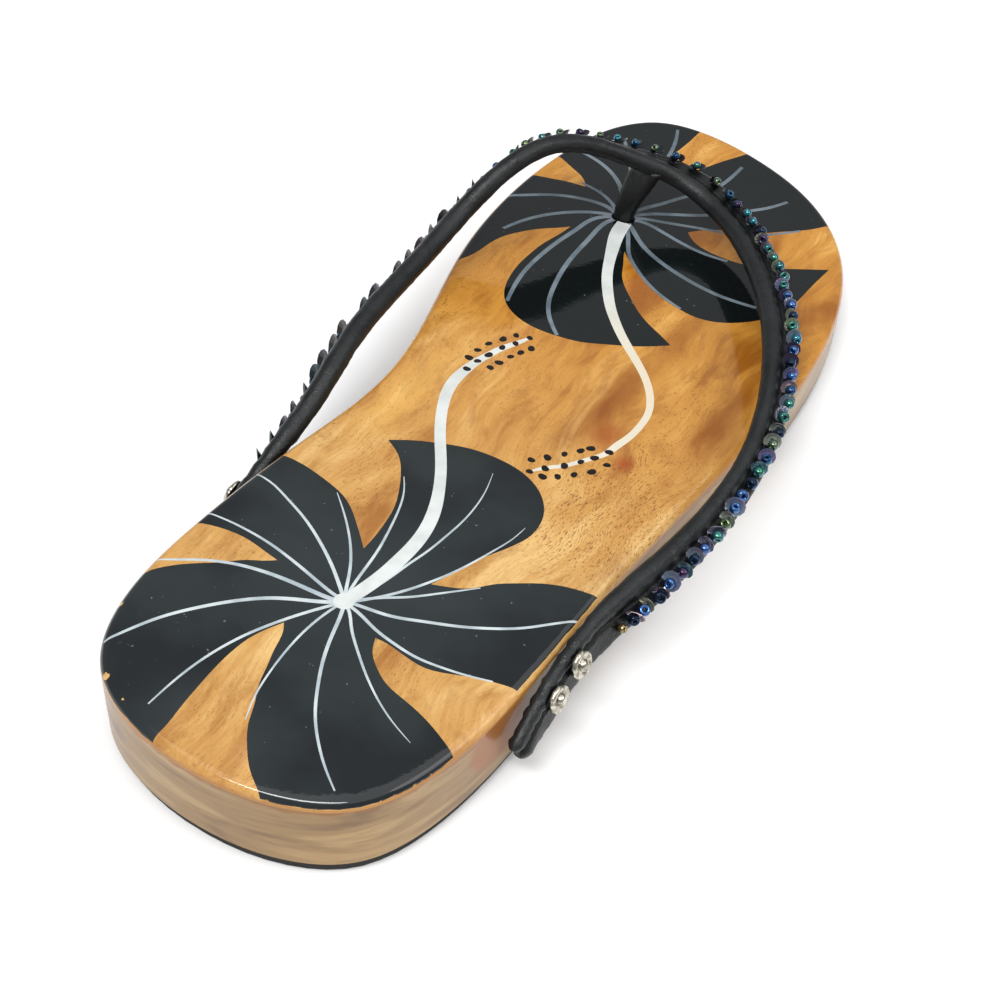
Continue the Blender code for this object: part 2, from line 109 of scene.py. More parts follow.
# --- sizes of the looks alone
RIM_STEP, GRID_STEP, UNDER_GRID_STEP = 1.2, 4.0, 6.0  # spacing of the slab's points
EDGE_STEPS = 5  # faces round the slab's top edge
SIDE_LEVELS = (0.06, 0.15, 0.4, 0.7, 1.0)  # parts of the side's height, from its top
UNDER_DROP = 18.0  # depth of the underside, for its colour
CHAMFER_LEAN = -0.7  # how far the chamfer's normals look down
FLAT_LENGTH, FLAT_FADE, PINCH_LENGTH = 24.0, 12.0, 8.0  # the strap's pressed ends
LOBE_RADIUS, WAIST = 1.9, 0.15  # an end's two lobes and the neck between
NOTCH_DEPTH, NOTCH_LENGTH, NOTCH_WIDTH = 1.7, 4.0, 0.8
CLOSE_START, CLOSE_LENGTH = 0.12, 2.2  # an end's rounding: its start beyond the end, its length
CREASE, UNDER_CREASE = 0.62, 1.7  # depth of the crease beside the roll
ROLL_PART, FLAT_ROLL_PART = 0.9, 0.84  # the roll's radius beside the solid's
STRAP_STEP, POST_STEPS = 0.9, 30  # the strap's ring spacing, the post's rings
POST_PAINTED_SHADE = 0.7  # how much painted shade the toe post gets, as a part of the painted shade in the crease beside the roll
# the lateral branch is worn thin: where, over what length, and what its frame and sizes lose there
SLIM_MIDDLE, SLIM_REACH = 82.0, 46.0
SLIM_SHIFT, SLIM_BAND, SLIM_ROLL, SLIM_ROW = 0.4, 1.0, 0.2, 1.2
# name; distance from the medial or from the lateral end; distance from the roll's axis
STUD_PLACES = (
    ("stud_medial_front", 17.8, None, 3.0), ("stud_medial_rear", 10.9, None, 2.9),
    ("stud_lateral_front", None, 21.2, 1.8), ("stud_lateral_rear", None, 12.9, 1.6),
)

# --- painted flowers
# A flower is one closed chain of smooth edges with a corner between each two. A petal lists its
# edges, and each edge starts at the corner where the one before it ends.
HEEL_CENTRE = (0.5, 47)
HEEL_PETALS = (
    (((-4.6, 65), (-5.2, 70), (-5.9, 73.6), (-7.9, 78.6), (-10.7, 83.6), (-14.3, 87.9),
      (-18.4, 90.4)),
     ((-14.3, 93.2), (-9.3, 95.7), (-3.6, 97.9), (4.3, 98.8), (9.3, 98.2), (14.3, 96.1),
      (17.9, 92.9), (20, 89.3), (20.8, 85.7), (20.6, 82.1), (19.6, 79.3), (17.9, 75.7),
      (15.7, 71.4), (14.3, 67.1), (12.4, 62.5), (11.6, 60.4))),
    (((15, 61.8), (18.6, 63.9), (21.4, 67.1), (25, 70), (29.3, 72.9), (34.3, 75), (40.4, 76.1),
      (46, 76.9)),
     ((46, 46.9),),
     ((38.6, 46.9), (32.9, 45.6), (29.3, 44.3), (25, 42.5), (22.1, 41.8), (19.3, 41.9),
      (15.7, 42.5), (12.1, 42.9), (10.6, 42.8))),
    (((12.1, 39.6), (15, 36.8), (18.6, 34.6), (22.9, 33.4), (27.1, 32.3), (31.4, 30.7),
      (37.5, 27.7), (42, 25.5)),
     ((42, -4),),
     ((21, -4),),
     ((13.6, 2.4), (10, 5), (6.4, 8.9), (3.6, 12.9), (1.4, 17.9), (-0.4, 21.4), (-1.8, 25.7),
      (-3.2, 30), (-4.6, 34.6), (-5.7, 36.3))),
    (((-7.1, 33.6), (-8.7, 29.3), (-9.3, 25), (-9.4, 20), (-9.1, 14.3), (-8.7, 9.3), (-8.2, 5),
      (-8.3, 0.1), (-8.4, -5)),
     ((-42, -5),),
     ((-42, 20),),
     ((-38, 26), (-36.1, 30), (-34.6, 32.9), (-32.1, 36.1), (-28.6, 39.3), (-25, 42.1),
      (-21.4, 45.4), (-18.6, 47.1), (-16.4, 48.8))),
    (((-20, 49.4), (-24.3, 50.1), (-28.6, 50), (-32.9, 49.1), (-36.8, 47.6), (-41, 45.5)),
     ((-41, 73.5),),
     ((-35.4, 73.8), (-30.7, 74.1), (-25.7, 73.6), (-20.7, 72.5), (-16.4, 71.1), (-12.9, 68.9),
      (-9.3, 65.7), (-6.4, 62.9), (-4.5, 61))),
)
TOE_CENTRE = (-17.2, 192)
TOE_PETALS = (
    (((-26.4, 176.4), (-27.5, 171.4), (-28, 165.7), (-28, 160), (-27.1, 154.3), (-25.4, 149.3),
      (-22.5, 145.4), (-18.6, 142.9), (-13.6, 141.6), (-9.3, 141.6), (-5.7, 142.1), (-1.4, 143.2),
      (2.9, 145.4), (7.1, 147.7), (10.7, 150), (15.7, 154.1)),
     ((12.1, 156.1), (7.9, 158.2), (3.6, 161.1), (0, 164.3), (-3.6, 167.9), (-6.1, 171.4),
      (-7.7, 175), (-9.3, 178.2), (-10, 179.9))),
    (((-7.1, 177.1), (-3.6, 174.3), (0.7, 171.4), (5.7, 168.9), (10.7, 167.5), (15.7, 166.9),
      (20, 167.9), (23.6, 170), (26.4, 172.5), (29.3, 176.1), (31.4, 180.7), (32.5, 185.7),
      (32.9, 192.1), (33.2, 197.1), (33.7, 202.9)),
     ((30, 200.4), (25.7, 197.5), (22.1, 195), (14.6, 192.2), (9.3, 191.9), (4.3, 192.6),
      (0.6, 194.6), (-1.1, 196.4))),
    (((1.4, 199.3), (5, 202.1), (12.9, 206.1), (16.4, 209.3), (20, 212.5), (23.6, 216.1),
      (26.4, 220), (31, 226)),
     ((31, 243),),
     ((-1, 243),),
     ((-5, 234.3), (-7.1, 230.7), (-9.3, 226.4), (-11.4, 222.1), (-13.2, 218.6), (-15, 215.5),
      (-16.5, 213.5))),
    (((-18.5, 217.5), (-19.8, 222.9), (-19.6, 226.4), (-19.1, 230.7), (-18.8, 235.7),
      (-18.4, 243)),
     ((-50, 243),),
     ((-50, 208),),
     ((-46, 207.4), (-42.9, 206.4), (-38.6, 204.3), (-34.3, 202.1), (-32.1, 200), (-31.3, 198.6))),
    (((-35.7, 197.9), (-40.7, 196.4), (-45.5, 195), (-50, 193.5)),
     ((-50, 152),),
     ((-41.6, 152),),
     ((-39.4, 155.7), (-38.2, 162.1), (-36.8, 167.9), (-34.3, 172.1), (-31.4, 175.7),
      (-27.9, 178.9), (-25.7, 181.1))),
)
# veins: width at the tip, width near the flower's centre, then points from the tip inwards
HEEL_VEINS = (
    (0.15, 0.7, (-9.5, 82.9), (-7.1, 79.3), (-5, 74.3), (-3.2, 67.9), (-1.8, 61.4), (-0.6, 52.1),
     (0.2, 48)),
    (0.1, 0.7, (5, 94.3), (6.6, 88.6), (7.3, 83.6), (7.4, 78.6), (6.9, 72.9), (6.1, 67.1),
     (5, 62.1), (3.9, 56.4), (2.1, 50.7), (0.8, 47.6)),
    (0.1, 0.75, (18.7, 84.3), (18.2, 80), (17, 75.7), (15.4, 70.7), (13.2, 65), (11.1, 60.7),
     (8.6, 56.4), (4.3, 50.7), (1.2, 47.4)),
    (0.2, 0.75, (20, 65), (17.1, 62.1), (13.6, 58.6), (9.3, 54.6), (5, 51.4), (1.4, 47.8)),
    (0.5, 0.8, (39.9, 68.4), (36.4, 65), (32.1, 60.7), (27.1, 57.1), (21.4, 53.9), (15.7, 51.4),
     (10, 49.1), (3.6, 47.9), (0.8, 47.4)),
    (0.35, 0.75, (34.3, 46.1), (29.3, 44.6), (24.3, 43.6), (19.3, 43.1), (14.3, 43.6), (9.3, 44.6),
     (4.3, 46.3), (0.8, 47)),
    (0.1, 0.7, (29.6, 25.7), (24.3, 27.9), (19.3, 30.7), (14.3, 34.3), (9.3, 38.6), (5, 42.9),
     (2.9, 45.4), (0.8, 47)),
    (0.3, 0.8, (24.6, 9.6), (20.7, 12.5), (16.4, 16.4), (12.1, 21.4), (8.6, 27.1), (5.7, 32.9),
     (3.6, 38.6), (1.8, 44.3), (0.8, 46.8)),
    (0.2, 0.6, (2.5, 13.6), (0.7, 18.6), (-0.6, 25), (-1.2, 30.7), (-1.3, 36.4), (-0.7, 42.1),
     (0.3, 46.6)),
    (0.3, 1.1, (-36.1, 35.4), (-32.9, 37.5), (-28.6, 40.4), (-23.6, 42.9), (-17.9, 44.6),
     (-12.1, 45.5), (-6.4, 45.9), (-2.1, 46.3), (0.2, 46.8)),
    (0.5, 1, (-30.2, 13.9), (-28.2, 18.6), (-25.4, 24.3), (-21.4, 30), (-16.4, 35.7), (-11.4, 40),
     (-6.4, 42.9), (-2.1, 45.2), (0.2, 46.8)),
    (0.3, 0.75, (-13.9, 6.8), (-13.6, 12.9), (-12.9, 18.6), (-11.4, 25), (-9.3, 30.7),
     (-6.4, 36.4), (-2.9, 42.1), (0.1, 46.4)),
    (0.15, 0.75, (-17.9, 71.1), (-14.3, 67.9), (-10, 63.6), (-6.4, 59.3), (-3.2, 54.3),
     (-1.4, 50.7), (0.1, 47.8)),
    (0.3, 0.8, (-35.5, 66.4), (-30.7, 65.9), (-25, 63.9), (-20, 61.8), (-14.3, 58.7), (-9.3, 55.4),
     (-5, 52.1), (-2.1, 49.6), (0, 47.8)),
    (0.3, 0.8, (-36.1, 51.6), (-30.7, 52.1), (-25.7, 52.1), (-20, 51.6), (-14.3, 50.5),
     (-8.6, 49.1), (-2.9, 47.7), (0.1, 47.2)),
)
TOE_VEINS = (
    (0.9, 1.3, (-22.9, 146.4), (-24.6, 152.9), (-25.6, 160), (-25.6, 167.1), (-25, 174.3),
     (-23.9, 181.4), (-22.5, 187.9), (-19, 191.6)),
    (0.9, 1.3, (-7.1, 142.1), (-11.8, 146.8), (-15, 152.1), (-17.1, 158.6), (-18.6, 165.7),
     (-19.3, 172.9), (-19.6, 180.7), (-19.3, 188.6), (-18, 191.6)),
    (0.6, 1.1, (11.4, 167.7), (7.1, 168.9), (1.4, 171.4), (-4.3, 175.4), (-8.6, 179.6),
     (-12.1, 185.7), (-15.6, 191)),
    (1, 1.3, (25.7, 178.6), (17.9, 177.7), (10.7, 178.2), (4.3, 179.6), (-2.1, 181.8), (-7.9, 185),
     (-12.9, 189.3), (-15.6, 191.6)),
    (0.8, 1.2, (12.1, 191.3), (7.1, 190.7), (0, 191.3), (-7.1, 192.9), (-12.9, 193.4),
     (-15.6, 192.4)),
    (0.7, 1.2, (21.4, 213.6), (14.3, 206.4), (7, 202), (1.4, 200), (-3.6, 198.2), (-8.6, 196.4),
     (-12.9, 194.8), (-15.6, 193.2)),
    (0.9, 1.3, (13.6, 222.9), (10.7, 217.9), (6.4, 212.9), (-1.4, 205.2), (-8.6, 200.4),
     (-13.6, 196.6), (-16, 193.8)),
    (0.9, 1.3, (-2.5, 230), (-2.9, 223.6), (-4.3, 217.1), (-9.3, 208.6), (-12.1, 203.4),
     (-15, 198.4), (-16.6, 194.4)),
    (0.8, 1.2, (-24, 235.5), (-22.1, 230.7), (-20.7, 225), (-19.4, 214), (-18.6, 204),
     (-17.6, 195)),
    (0.8, 1.2, (-34, 224), (-30, 219), (-26, 213), (-22.5, 206), (-19.5, 199), (-18, 194.4)),
    (0.9, 1.3, (-39.3, 211.8), (-34.3, 210.7), (-28.6, 207.9), (-22.9, 202.4), (-19.8, 197),
     (-18.2, 193.8)),
    (0.7, 1.1, (-33, 199.6), (-27.1, 198.6), (-22.1, 196), (-18.8, 193)),
    (0.9, 1.3, (-45.7, 182.9), (-41.4, 186.4), (-35.7, 190.7), (-28.6, 193.6), (-22.1, 194),
     (-18.8, 192.6)),
    (0.9, 1.3, (-38.6, 170.7), (-36.4, 176.4), (-32.9, 182.1), (-27.1, 187.9), (-21.8, 191),
     (-18.8, 192)),
)
# stamens: x, y, width
HEEL_STAMEN = (
    (0.6, 47.2, 2.6), (1.4, 50.7, 3), (2.5, 56.4, 3.1), (3, 62.1, 3.1), (3.1, 67.9, 3),
    (2.5, 72.9, 2.9), (1.1, 77.9, 2.8), (-1.4, 83.6, 2.5), (-5, 90, 2.4), (-10.2, 97.8, 2.4),
    (-15.2, 106.9, 2.5), (-17.1, 112.4, 2.7), (-17.6, 117, 2.7), (-17.4, 120, 2.5),
    (-16.9, 123.7, 2.1), (-16, 127, 1.9), (-14.8, 130.8, 1.7), (-13.2, 134, 1.5),
    (-11.9, 137, 0.9),
)
TOE_STAMEN = (
    (-15.7, 190.6, 3.6), (-15, 185.7, 3.7), (-13.2, 180, 3.2), (-11.1, 174.3, 2.7),
    (-8.6, 168.6, 2.6), (-5.7, 163.6, 2.6), (-2.5, 158.9, 2.5), (1.4, 154.3, 2.3), (5.7, 150, 2.2),
    (11.5, 145, 2), (16.8, 140, 1.8), (20.5, 135, 1.7), (22.6, 130, 1.6), (23.1, 125, 1.6),
    (22.7, 120, 1.7), (21.9, 116.3, 1.8), (21.4, 113.6, 1.5), (20, 110.9, 1.3), (18.2, 108.2, 1.2),
    (16, 105, 1.1), (13, 102, 1), (11.3, 99.8, 0.6),
)
HEEL_HUB, HUB_RADIUS = (0.4, 47.2), 2.1
DOTS = (
    (-17.4, 120), (-16.9, 123.7), (-16, 127), (-14.9, 131), (-13.2, 134), (-19.1, 123.6),
    (-18.9, 127), (-18.1, 130.4), (-16.3, 133.7), (-14.6, 136.6), (-13.4, 123.4), (-12.7, 126),
    (-11.7, 129.3), (-10.6, 131.9), (-9.4, 134.5), (-11.6, 137.6), (21.7, 114.1), (20, 110.7),
    (18.2, 108), (16, 104.9), (13.1, 101.9), (10.9, 99.2), (17.9, 112.9), (16.5, 111),
    (14.2, 108.1), (11.8, 105.1), (9.4, 102.5), (23.2, 110.3), (21.6, 106.6), (19, 103.7),
    (16.5, 101.2), (13.9, 99.4),
)
DOT_RADIUS = 0.85
PETAL_STEP, LINE_STEP = 1.3, 1.4  # spacing of the points along painted edges

# --- curves
def spline_through(knots, closed):
    """A cubic spline of continuous curvature through the knots, as a function of knot number."""
    knots = np.asarray(knots, float)
    count = len(knots)
    chord = np.linalg.norm(np.diff(knots[:, :3], axis=0), axis=1)
    if closed:
        chord = np.append(chord, np.linalg.norm(knots[0, :3] - knots[-1, :3]))
    span = np.maximum(chord, 1e-6)
    slopes = slopes_at(knots, span, closed)

    def read(t):
        i = min(int(t), len(span) - 1)
        f, j = t - i, (i + 1) % count
        da, db = slopes[i] * span[i], slopes[j] * span[i]
        return (
            (2 * f**3 - 3 * f**2 + 1) * knots[i]
            + (f**3 - 2 * f**2 + f) * da
            + (-2 * f**3 + 3 * f**2) * knots[j]
            + (f**3 - f**2) * db
        )

    return read


def slopes_at(knots, span, closed):
    """Slopes at the knots that make the second derivative continuous."""
    count = len(knots)
    matrix = np.zeros((count, count))
    right = np.zeros_like(knots)
    for i in range(count):
        if not closed and i in (0, count - 1):
            j = i if i == 0 else i - 1
            matrix[i, j] = 1.0 if i else 2.0
            matrix[i, j + 1] = 2.0 if i else 1.0
            right[i] = 3 * (knots[j + 1] - knots[j]) / span[j]
            continue
        before, after = span[i - 1], span[i % len(span)]
        ahead, back = (i + 1) % count, i - 1
        matrix[i, back] += 1 / before
        matrix[i, i] += 2 / before + 2 / after
        matrix[i, ahead] += 1 / after
        right[i] = 3 * (knots[i] - knots[back]) / before**2
        right[i] += 3 * (knots[ahead] - knots[i]) / after**2
    return np.linalg.solve(matrix, right)


def walk(curve, spans, steps):
    """Points along a curve, so many steps to a span, and how far along it each lies."""
    points = np.array([curve(i / steps) for i in range(spans * steps + 1)])
    hops = np.linalg.norm(np.diff(points[:, :3], axis=0), axis=1)
    return points, np.append(0.0, np.cumsum(hops))


def smooth_run(knots, step):
    """Points along a smooth open curve through the knots, about a step apart."""
    knots = [np.array(k, float) for k in knots]
    if len(knots) == 2:
        return knots
    curve = spline_through(knots, closed=False)
    points = knots[:1]
    for i in range(len(knots) - 1):
        pieces = max(1, round(math.dist(knots[i][:2], knots[i + 1][:2]) / step))
        points += [curve(i + (k + 1) / pieces) for k in range(pieces)]
    return points


def ease(t):
    t = min(max(t, 0.0), 1.0)
    return t * t * (3 - 2 * t)


def blend(a, b, t):
    return a + (b - a) * t


def unit(vector):
    vector = np.asarray(vector, float)
    return vector / np.linalg.norm(vector)


def toe_part(y):
    """0 where the toe starts to rise, 1 at its tip."""
    return max(0.0, (y - BALL_FLAT_END) / (LENGTH - BALL_FLAT_END))


def top_z(y):
    return HEEL_HEIGHT - (HEEL_HEIGHT - BALL_HEIGHT) / BALL_Y * y + TOE_LIFT * toe_part(y) ** 2


def under_z(y):
    """Height of the slab's underside."""
    rise = RUBBER + GAP
    if y >= BALL_FLAT_END:
        return rise + TOE_SPRING * toe_part(y) ** 2
    if HEEL_FLAT_END < y < BALL_FLAT_START:
        middle = 0.5 * (HEEL_FLAT_END + BALL_FLAT_START)
        half = 0.5 * (BALL_FLAT_START - HEEL_FLAT_END)
        rise += ARCH_RISE * ease(1 - abs(y - middle) / half)
    return rise


def sole_rim(step):
    """The sole's outline as a closed anticlockwise loop, with its outward directions."""
    knots = LATERAL_SIDE + MEDIAL_SIDE[-2:0:-1]
    fine, run = walk(spline_through(knots, closed=True), len(knots), steps=40)
    count = round(run[-1] / step)
    at = np.arange(count) * run[-1] / count
    loop = np.stack([np.interp(at, run, fine[:, k]) for k in (0, 1)], axis=1)
    along = np.roll(loop, -1, axis=0) - np.roll(loop, 1, axis=0)
    along /= np.linalg.norm(along, axis=1)[:, None]
    return loop, np.stack([along[:, 1], -along[:, 0]], axis=1)


RIM, RIM_OUT = sole_rim(RIM_STEP)
SOLE_LOW, SOLE_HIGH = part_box("sole")
ORIGIN = Vector((SOLE_HIGH[0] - MM * float(RIM[:, 0].max()), SOLE_LOW[1], 0.0))


def place(point):
    """A point in millimetres as a point of the frame, in metres."""
    return tuple(ORIGIN[k] + MM * float(point[k]) for k in range(3))


def nearest_rim(point):
    """The number of the rim's nearest point."""
    return int(np.argmin(((RIM - point) ** 2).sum(axis=1)))


class Strap:
    """The strap's path and frame: along, out (roll to band edge) and face (up from the band)."""

    def __init__(self):
        rows = [(x, y, top_z(y) + rise, *rest) for x, y, rise, *rest in STRAP_SECTIONS]
        self.path, self.run = walk(spline_through(rows, closed=False), len(rows) - 1, steps=20)
        self.length = float(self.run[-1])

    def row(self, s):
        return [float(np.interp(s, self.run, self.path[:, k])) for k in range(6)]

    def frame(self, s):
        x, y, z, tilt, width, roll = self.row(s)
        reach = 1.5
        ahead = Vector(self.row(min(s + reach, self.length))[:3])
        behind = Vector(self.row(max(s - reach, 0.0))[:3])
        along = (ahead - behind).normalized()
        level = Vector((-along.y, along.x, 0.0)).normalized()
        angle = math.radians(tilt)
        out = math.cos(angle) * level + math.sin(angle) * along.cross(level)
        slim = self.slimness(s)
        middle = Vector((x, y, z)) - SLIM_SHIFT * slim * out
        width, roll = width - SLIM_BAND * slim, roll * (1 - SLIM_ROLL * slim)
        return middle, along, out, along.cross(out), width, roll

    def slimness(self, s):
        """1 where the worn lateral branch is pulled thinnest, 0 well away from there."""
        return ease(1 - abs(self.length - SLIM_MIDDLE - s) / SLIM_REACH)


STRAP = Strap()
POST_RUN = 0.492 * STRAP.length  # how far along the strap the toe post lies


# --- materials
def srgb(colour):
    """An sRGB colour of 0 to 255 as linear values."""
    linear = [c / 255 / 12.92 if c <= 10 else ((c / 255 + 0.055) / 1.055) ** 2.4 for c in colour]
    return (*linear, 1.0)


class Mix:
    """A material's node tree, with short calls for the nodes that the finishes share."""

    def __init__(self, name):
        self.material = bpy.data.materials.new(name)
        self.material.use_nodes = True
        self.tree = self.material.node_tree
        self.shader = self.tree.nodes["Principled BSDF"]
        self._where = None

    def node(self, kind, inputs, **settings):
        made = self.tree.nodes.new(kind)
        for key, value in settings.items():
            setattr(made, key, value)
        for key, value in inputs.items():
            self.feed(made.inputs[key], value)
        return made

    def feed(self, socket, value):
        if isinstance(value, bpy.types.NodeSocket):
            self.tree.links.new(value, socket)
        else:
            socket.default_value = value

    def set(self, **values):
        """Links the shader's sockets, or sets what is constant on them, and gives the material."""
        for key, value in values.items():
            self.feed(self.shader.inputs[key.replace("_", " ")], value)
        return self.material

    def where(self):
        """The point on the sandal in its own frame, in millimetres."""
        if self._where is None:
            here = self.node("ShaderNodeTexCoord", {}).outputs["Object"]
            moved = self.vector("SUBTRACT", here, tuple(ORIGIN))
            self._where = self.vector("MULTIPLY", moved, (1 / MM,) * 3)
        return self._where

    def vector(self, operation, a, b):
        return self.node("ShaderNodeVectorMath", {0: a, 1: b}, operation=operation).outputs[0]

    def math(self, operation, a, b, clamp=False):
        inputs = {0: a, 1: b}
        return self.node("ShaderNodeMath", inputs, operation=operation, use_clamp=clamp).outputs[0]

    def wander(self, value, reach):
        """A noise as an offset that stays within half the reach either way."""
        return self.math("MULTIPLY", self.math("SUBTRACT", value, 0.5), reach)

    def along_foot(self):
        return self.node("ShaderNodeSeparateXYZ", {0: self.where()}).outputs["Y"]

    def noise(self, scale, detail=2.0, roughness=0.5, warp=0.0, at=None):
        """Noise in waves per millimetre, one number for each axis or for all of them."""
        scale = scale if isinstance(scale, tuple) else (scale,) * 3
        point = self.vector("MULTIPLY", self.where() if at is None else at, scale)
        inputs = {"Vector": point, "Scale": 1.0, "Detail": detail, "Roughness": roughness}
        return self.node("ShaderNodeTexNoise", {**inputs, "Distortion": warp}).outputs["Fac"]

    def span(self, value, low, high, to_low=0.0, to_high=1.0):
        """A smooth step from one value to another."""
        keys = ("Value", "From Min", "From Max", "To Min", "To Max")
        inputs = dict(zip(keys, (value, low, high, to_low, to_high)))
        return self.node("ShaderNodeMapRange", inputs, interpolation_type="SMOOTHSTEP").outputs[0]

    def mix(self, amount, a, b):
        """A mix of two colours, each a socket or an sRGB colour."""
        made = self.node("ShaderNodeMix", {}, data_type="RGBA")
        for key, value in (("Factor", amount), ("A", a), ("B", b)):
            self.feed(made.inputs[key], srgb(value) if isinstance(value, tuple) else value)
        return made.outputs["Result"]

    def wash(self, colour, amount, strength, shade):
        """A colour under a shade, where the amount says and never more than the strength."""
        return self.mix(self.math("MULTIPLY", amount, strength), colour, shade)

    def ramp(self, value, start, *colours):
        """A ramp from pale wood over a middle tone to dark wood, in sRGB colours."""
        made = self.node("ShaderNodeValToRGB", {"Fac": value})
        made.color_ramp.interpolation = "EASE"
        bar = made.color_ramp.elements
        bar.new(0.5)
        for element, position, colour in zip(bar, (start, 0.5, 0.64), colours):
            element.position, element.color = position, srgb(colour)
        return made.outputs["Color"]

    def spot(self, centre, reach, soft=1.0):
        """1 at a point, falling to 0 at an ellipse round it."""
        scaled = self.vector("DIVIDE", self.vector("SUBTRACT", self.where(), centre), reach)
        far = self.node("ShaderNodeVectorMath", {0: scaled}, operation="LENGTH").outputs["Value"]
        return self.span(far, 1.0, 1.0 - soft)

    def attribute(self, name, output="Fac"):
        return self.node("ShaderNodeAttribute", {}, attribute_name=name).outputs[output]

    def below(self, ragged, reach):
        """How far below the top face a point lies, made ragged by a noise."""
        return self.math("ADD", self.attribute("drop"), self.wander(ragged, reach))

    def bump(self, height, distance, strength, after=None):
        """A bump whose full height is a distance in millimetres."""
        inputs = {"Height": height, "Distance": distance * MM, "Strength": strength}
        if after is not None:
            inputs["Normal"] = after
        return self.node("ShaderNodeBump", inputs).outputs[0]


# the wood's darker and paler patches: centre, reach across and along, colour, strength
PATCH_DEPTH = 40.0
WOOD_PATCHES = (
    ((13.0, 126.0, 17.0), (6.5, 24.0), (124, 62, 12), 0.8),
    ((16.0, 156.0, 16.0), (6.0, 18.0), (140, 80, 24), 0.55),
    ((-3.0, 164.0, 15.0), (5.0, 14.0), (160, 86, 20), 0.55),
    ((37.0, 133.0, 16.0), (6.0, 22.0), (136, 74, 12), 0.6),
    ((-14.0, 133.0, 17.0), (6.0, 13.0), (170, 100, 48), 0.5),
    ((-24.0, 104.0, 17.0), (7.0, 26.0), (240, 190, 98), 0.5),
    ((12.0, 8.0, 21.0), (10.0, 6.0), (236, 190, 130), 0.4),
    ((19.0, 118.5, 17.0), (5.5, 8.0), (146, 68, 22), 0.7),
    ((26.0, 112.6, 17.0), (3.8, 4.0), (150, 60, 20), 0.7),
    ((11.5, 113.0, 17.0), (5.0, 9.0), (128, 72, 26), 0.5),
)
# chips in the heel's paint: centre, reach
PAINT_CHIPS = (
    ((-36.3, 54.5, 19.5), (1.5, 3.6, 3.0)), ((-33.8, 23.0, 20.5), (1.3, 1.8, 3.0)),
    ((-24.6, 7.8, 20.5), (1.8, 1.2, 3.0)), ((-18.6, 5.2, 20.0), (2.0, 0.9, 3.0)),
)


def wood_colour(m):
    """Honey-coloured hardwood: wandering figure, fibres, short pores, streaks, a reddish knot."""
    sway = m.node("ShaderNodeCombineXYZ", {0: m.wander(m.noise((0.02, 0.022, 0.016)), 26.0)})
    grain = m.vector("ADD", m.where(), sway.outputs[0])
    figure = m.noise((0.1, 0.02, 0.1), 4.0, 0.6, 0.45, at=grain)
    broad = m.noise((0.045, 0.026, 0.05), 3.0, 0.55, 0.6)
    tone = m.math("ADD", m.math("MULTIPLY", figure, 0.62), m.math("MULTIPLY", broad, 0.38))
    heel = m.ramp(tone, 0.38, (214, 176, 114), (194, 148, 84), (156, 104, 50))
    toe = m.ramp(tone, 0.36, (214, 162, 82), (190, 132, 52), (146, 86, 22))
    colour = m.mix(m.span(m.along_foot(), 60.0, 170.0), heel, toe)
    fibre = m.noise((1.5, 0.06, 1.2), 3.0, 0.65, at=grain)
    colour = m.mix(m.span(fibre, 0.4, 0.72, 0.0, 0.32), colour, (158, 98, 44))
    mottle = m.noise((0.2, 0.09, 0.2), 5.0, 0.68, 0.3, at=grain)
    colour = m.mix(m.span(mottle, 0.47, 0.66, 0.0, 0.42), colour, (142, 88, 34))
    for centre, reach, shade, strength in WOOD_PATCHES:
        spot = m.spot(centre, (*reach, PATCH_DEPTH))
        patch = m.math("MULTIPLY", spot, m.span(figure, 0.3, 0.6, 0.45, 1.0))
        colour = m.wash(colour, patch, strength, shade)
    pores = m.noise((4.0, 0.95, 2.4), 1.0, at=grain)
    rows = m.noise((0.05, 0.03, 0.05), 1.0)
    open_grain = m.spot((30.0, 96.0, 17.0), (24.0, 34.0, PATCH_DEPTH), 0.7)
    dense = m.math("MAXIMUM", open_grain, m.span(rows, 0.4, 0.65, 0.25, 0.8))
    crowded = m.math("ADD", pores, m.math("MULTIPLY", open_grain, 0.045))
    dashes = m.math("MULTIPLY", m.span(crowded, 0.62, 0.68), dense)
    return m.wash(colour, dashes, 0.7, (112, 64, 24)), dashes


def varnish(m, roughness=0.34, coat=1.0, coat_roughness=0.06, specular=0.0):
    """Lacquer over whatever lies below, with a slow flow and a fine ripple."""
    flow, fine = m.noise((0.05, 0.035, 0.06)), m.noise(0.7)
    return m.set(
        Roughness=roughness, Specular_IOR_Level=specular,
        Coat_Weight=coat, Coat_Roughness=coat_roughness, Coat_IOR=1.5,
        Coat_Normal=m.bump(flow, 0.25, 0.5, after=m.bump(fine, 0.03, 0.5)),
    )


def make_wood():
    m = Mix("varnished_wood_top")
    colour, dashes = wood_colour(m)
    edge = m.span(m.below(m.noise((0.5, 0.5, 0.8)), 1.0), 0.7, 1.5, 0.0, 0.75)
    m.set(
        Base_Color=m.mix(edge, colour, (160, 102, 22)),
        Normal=m.bump(m.math("SUBTRACT", 1.0, dashes), 0.03, 0.5),
    )
    return varnish(m)


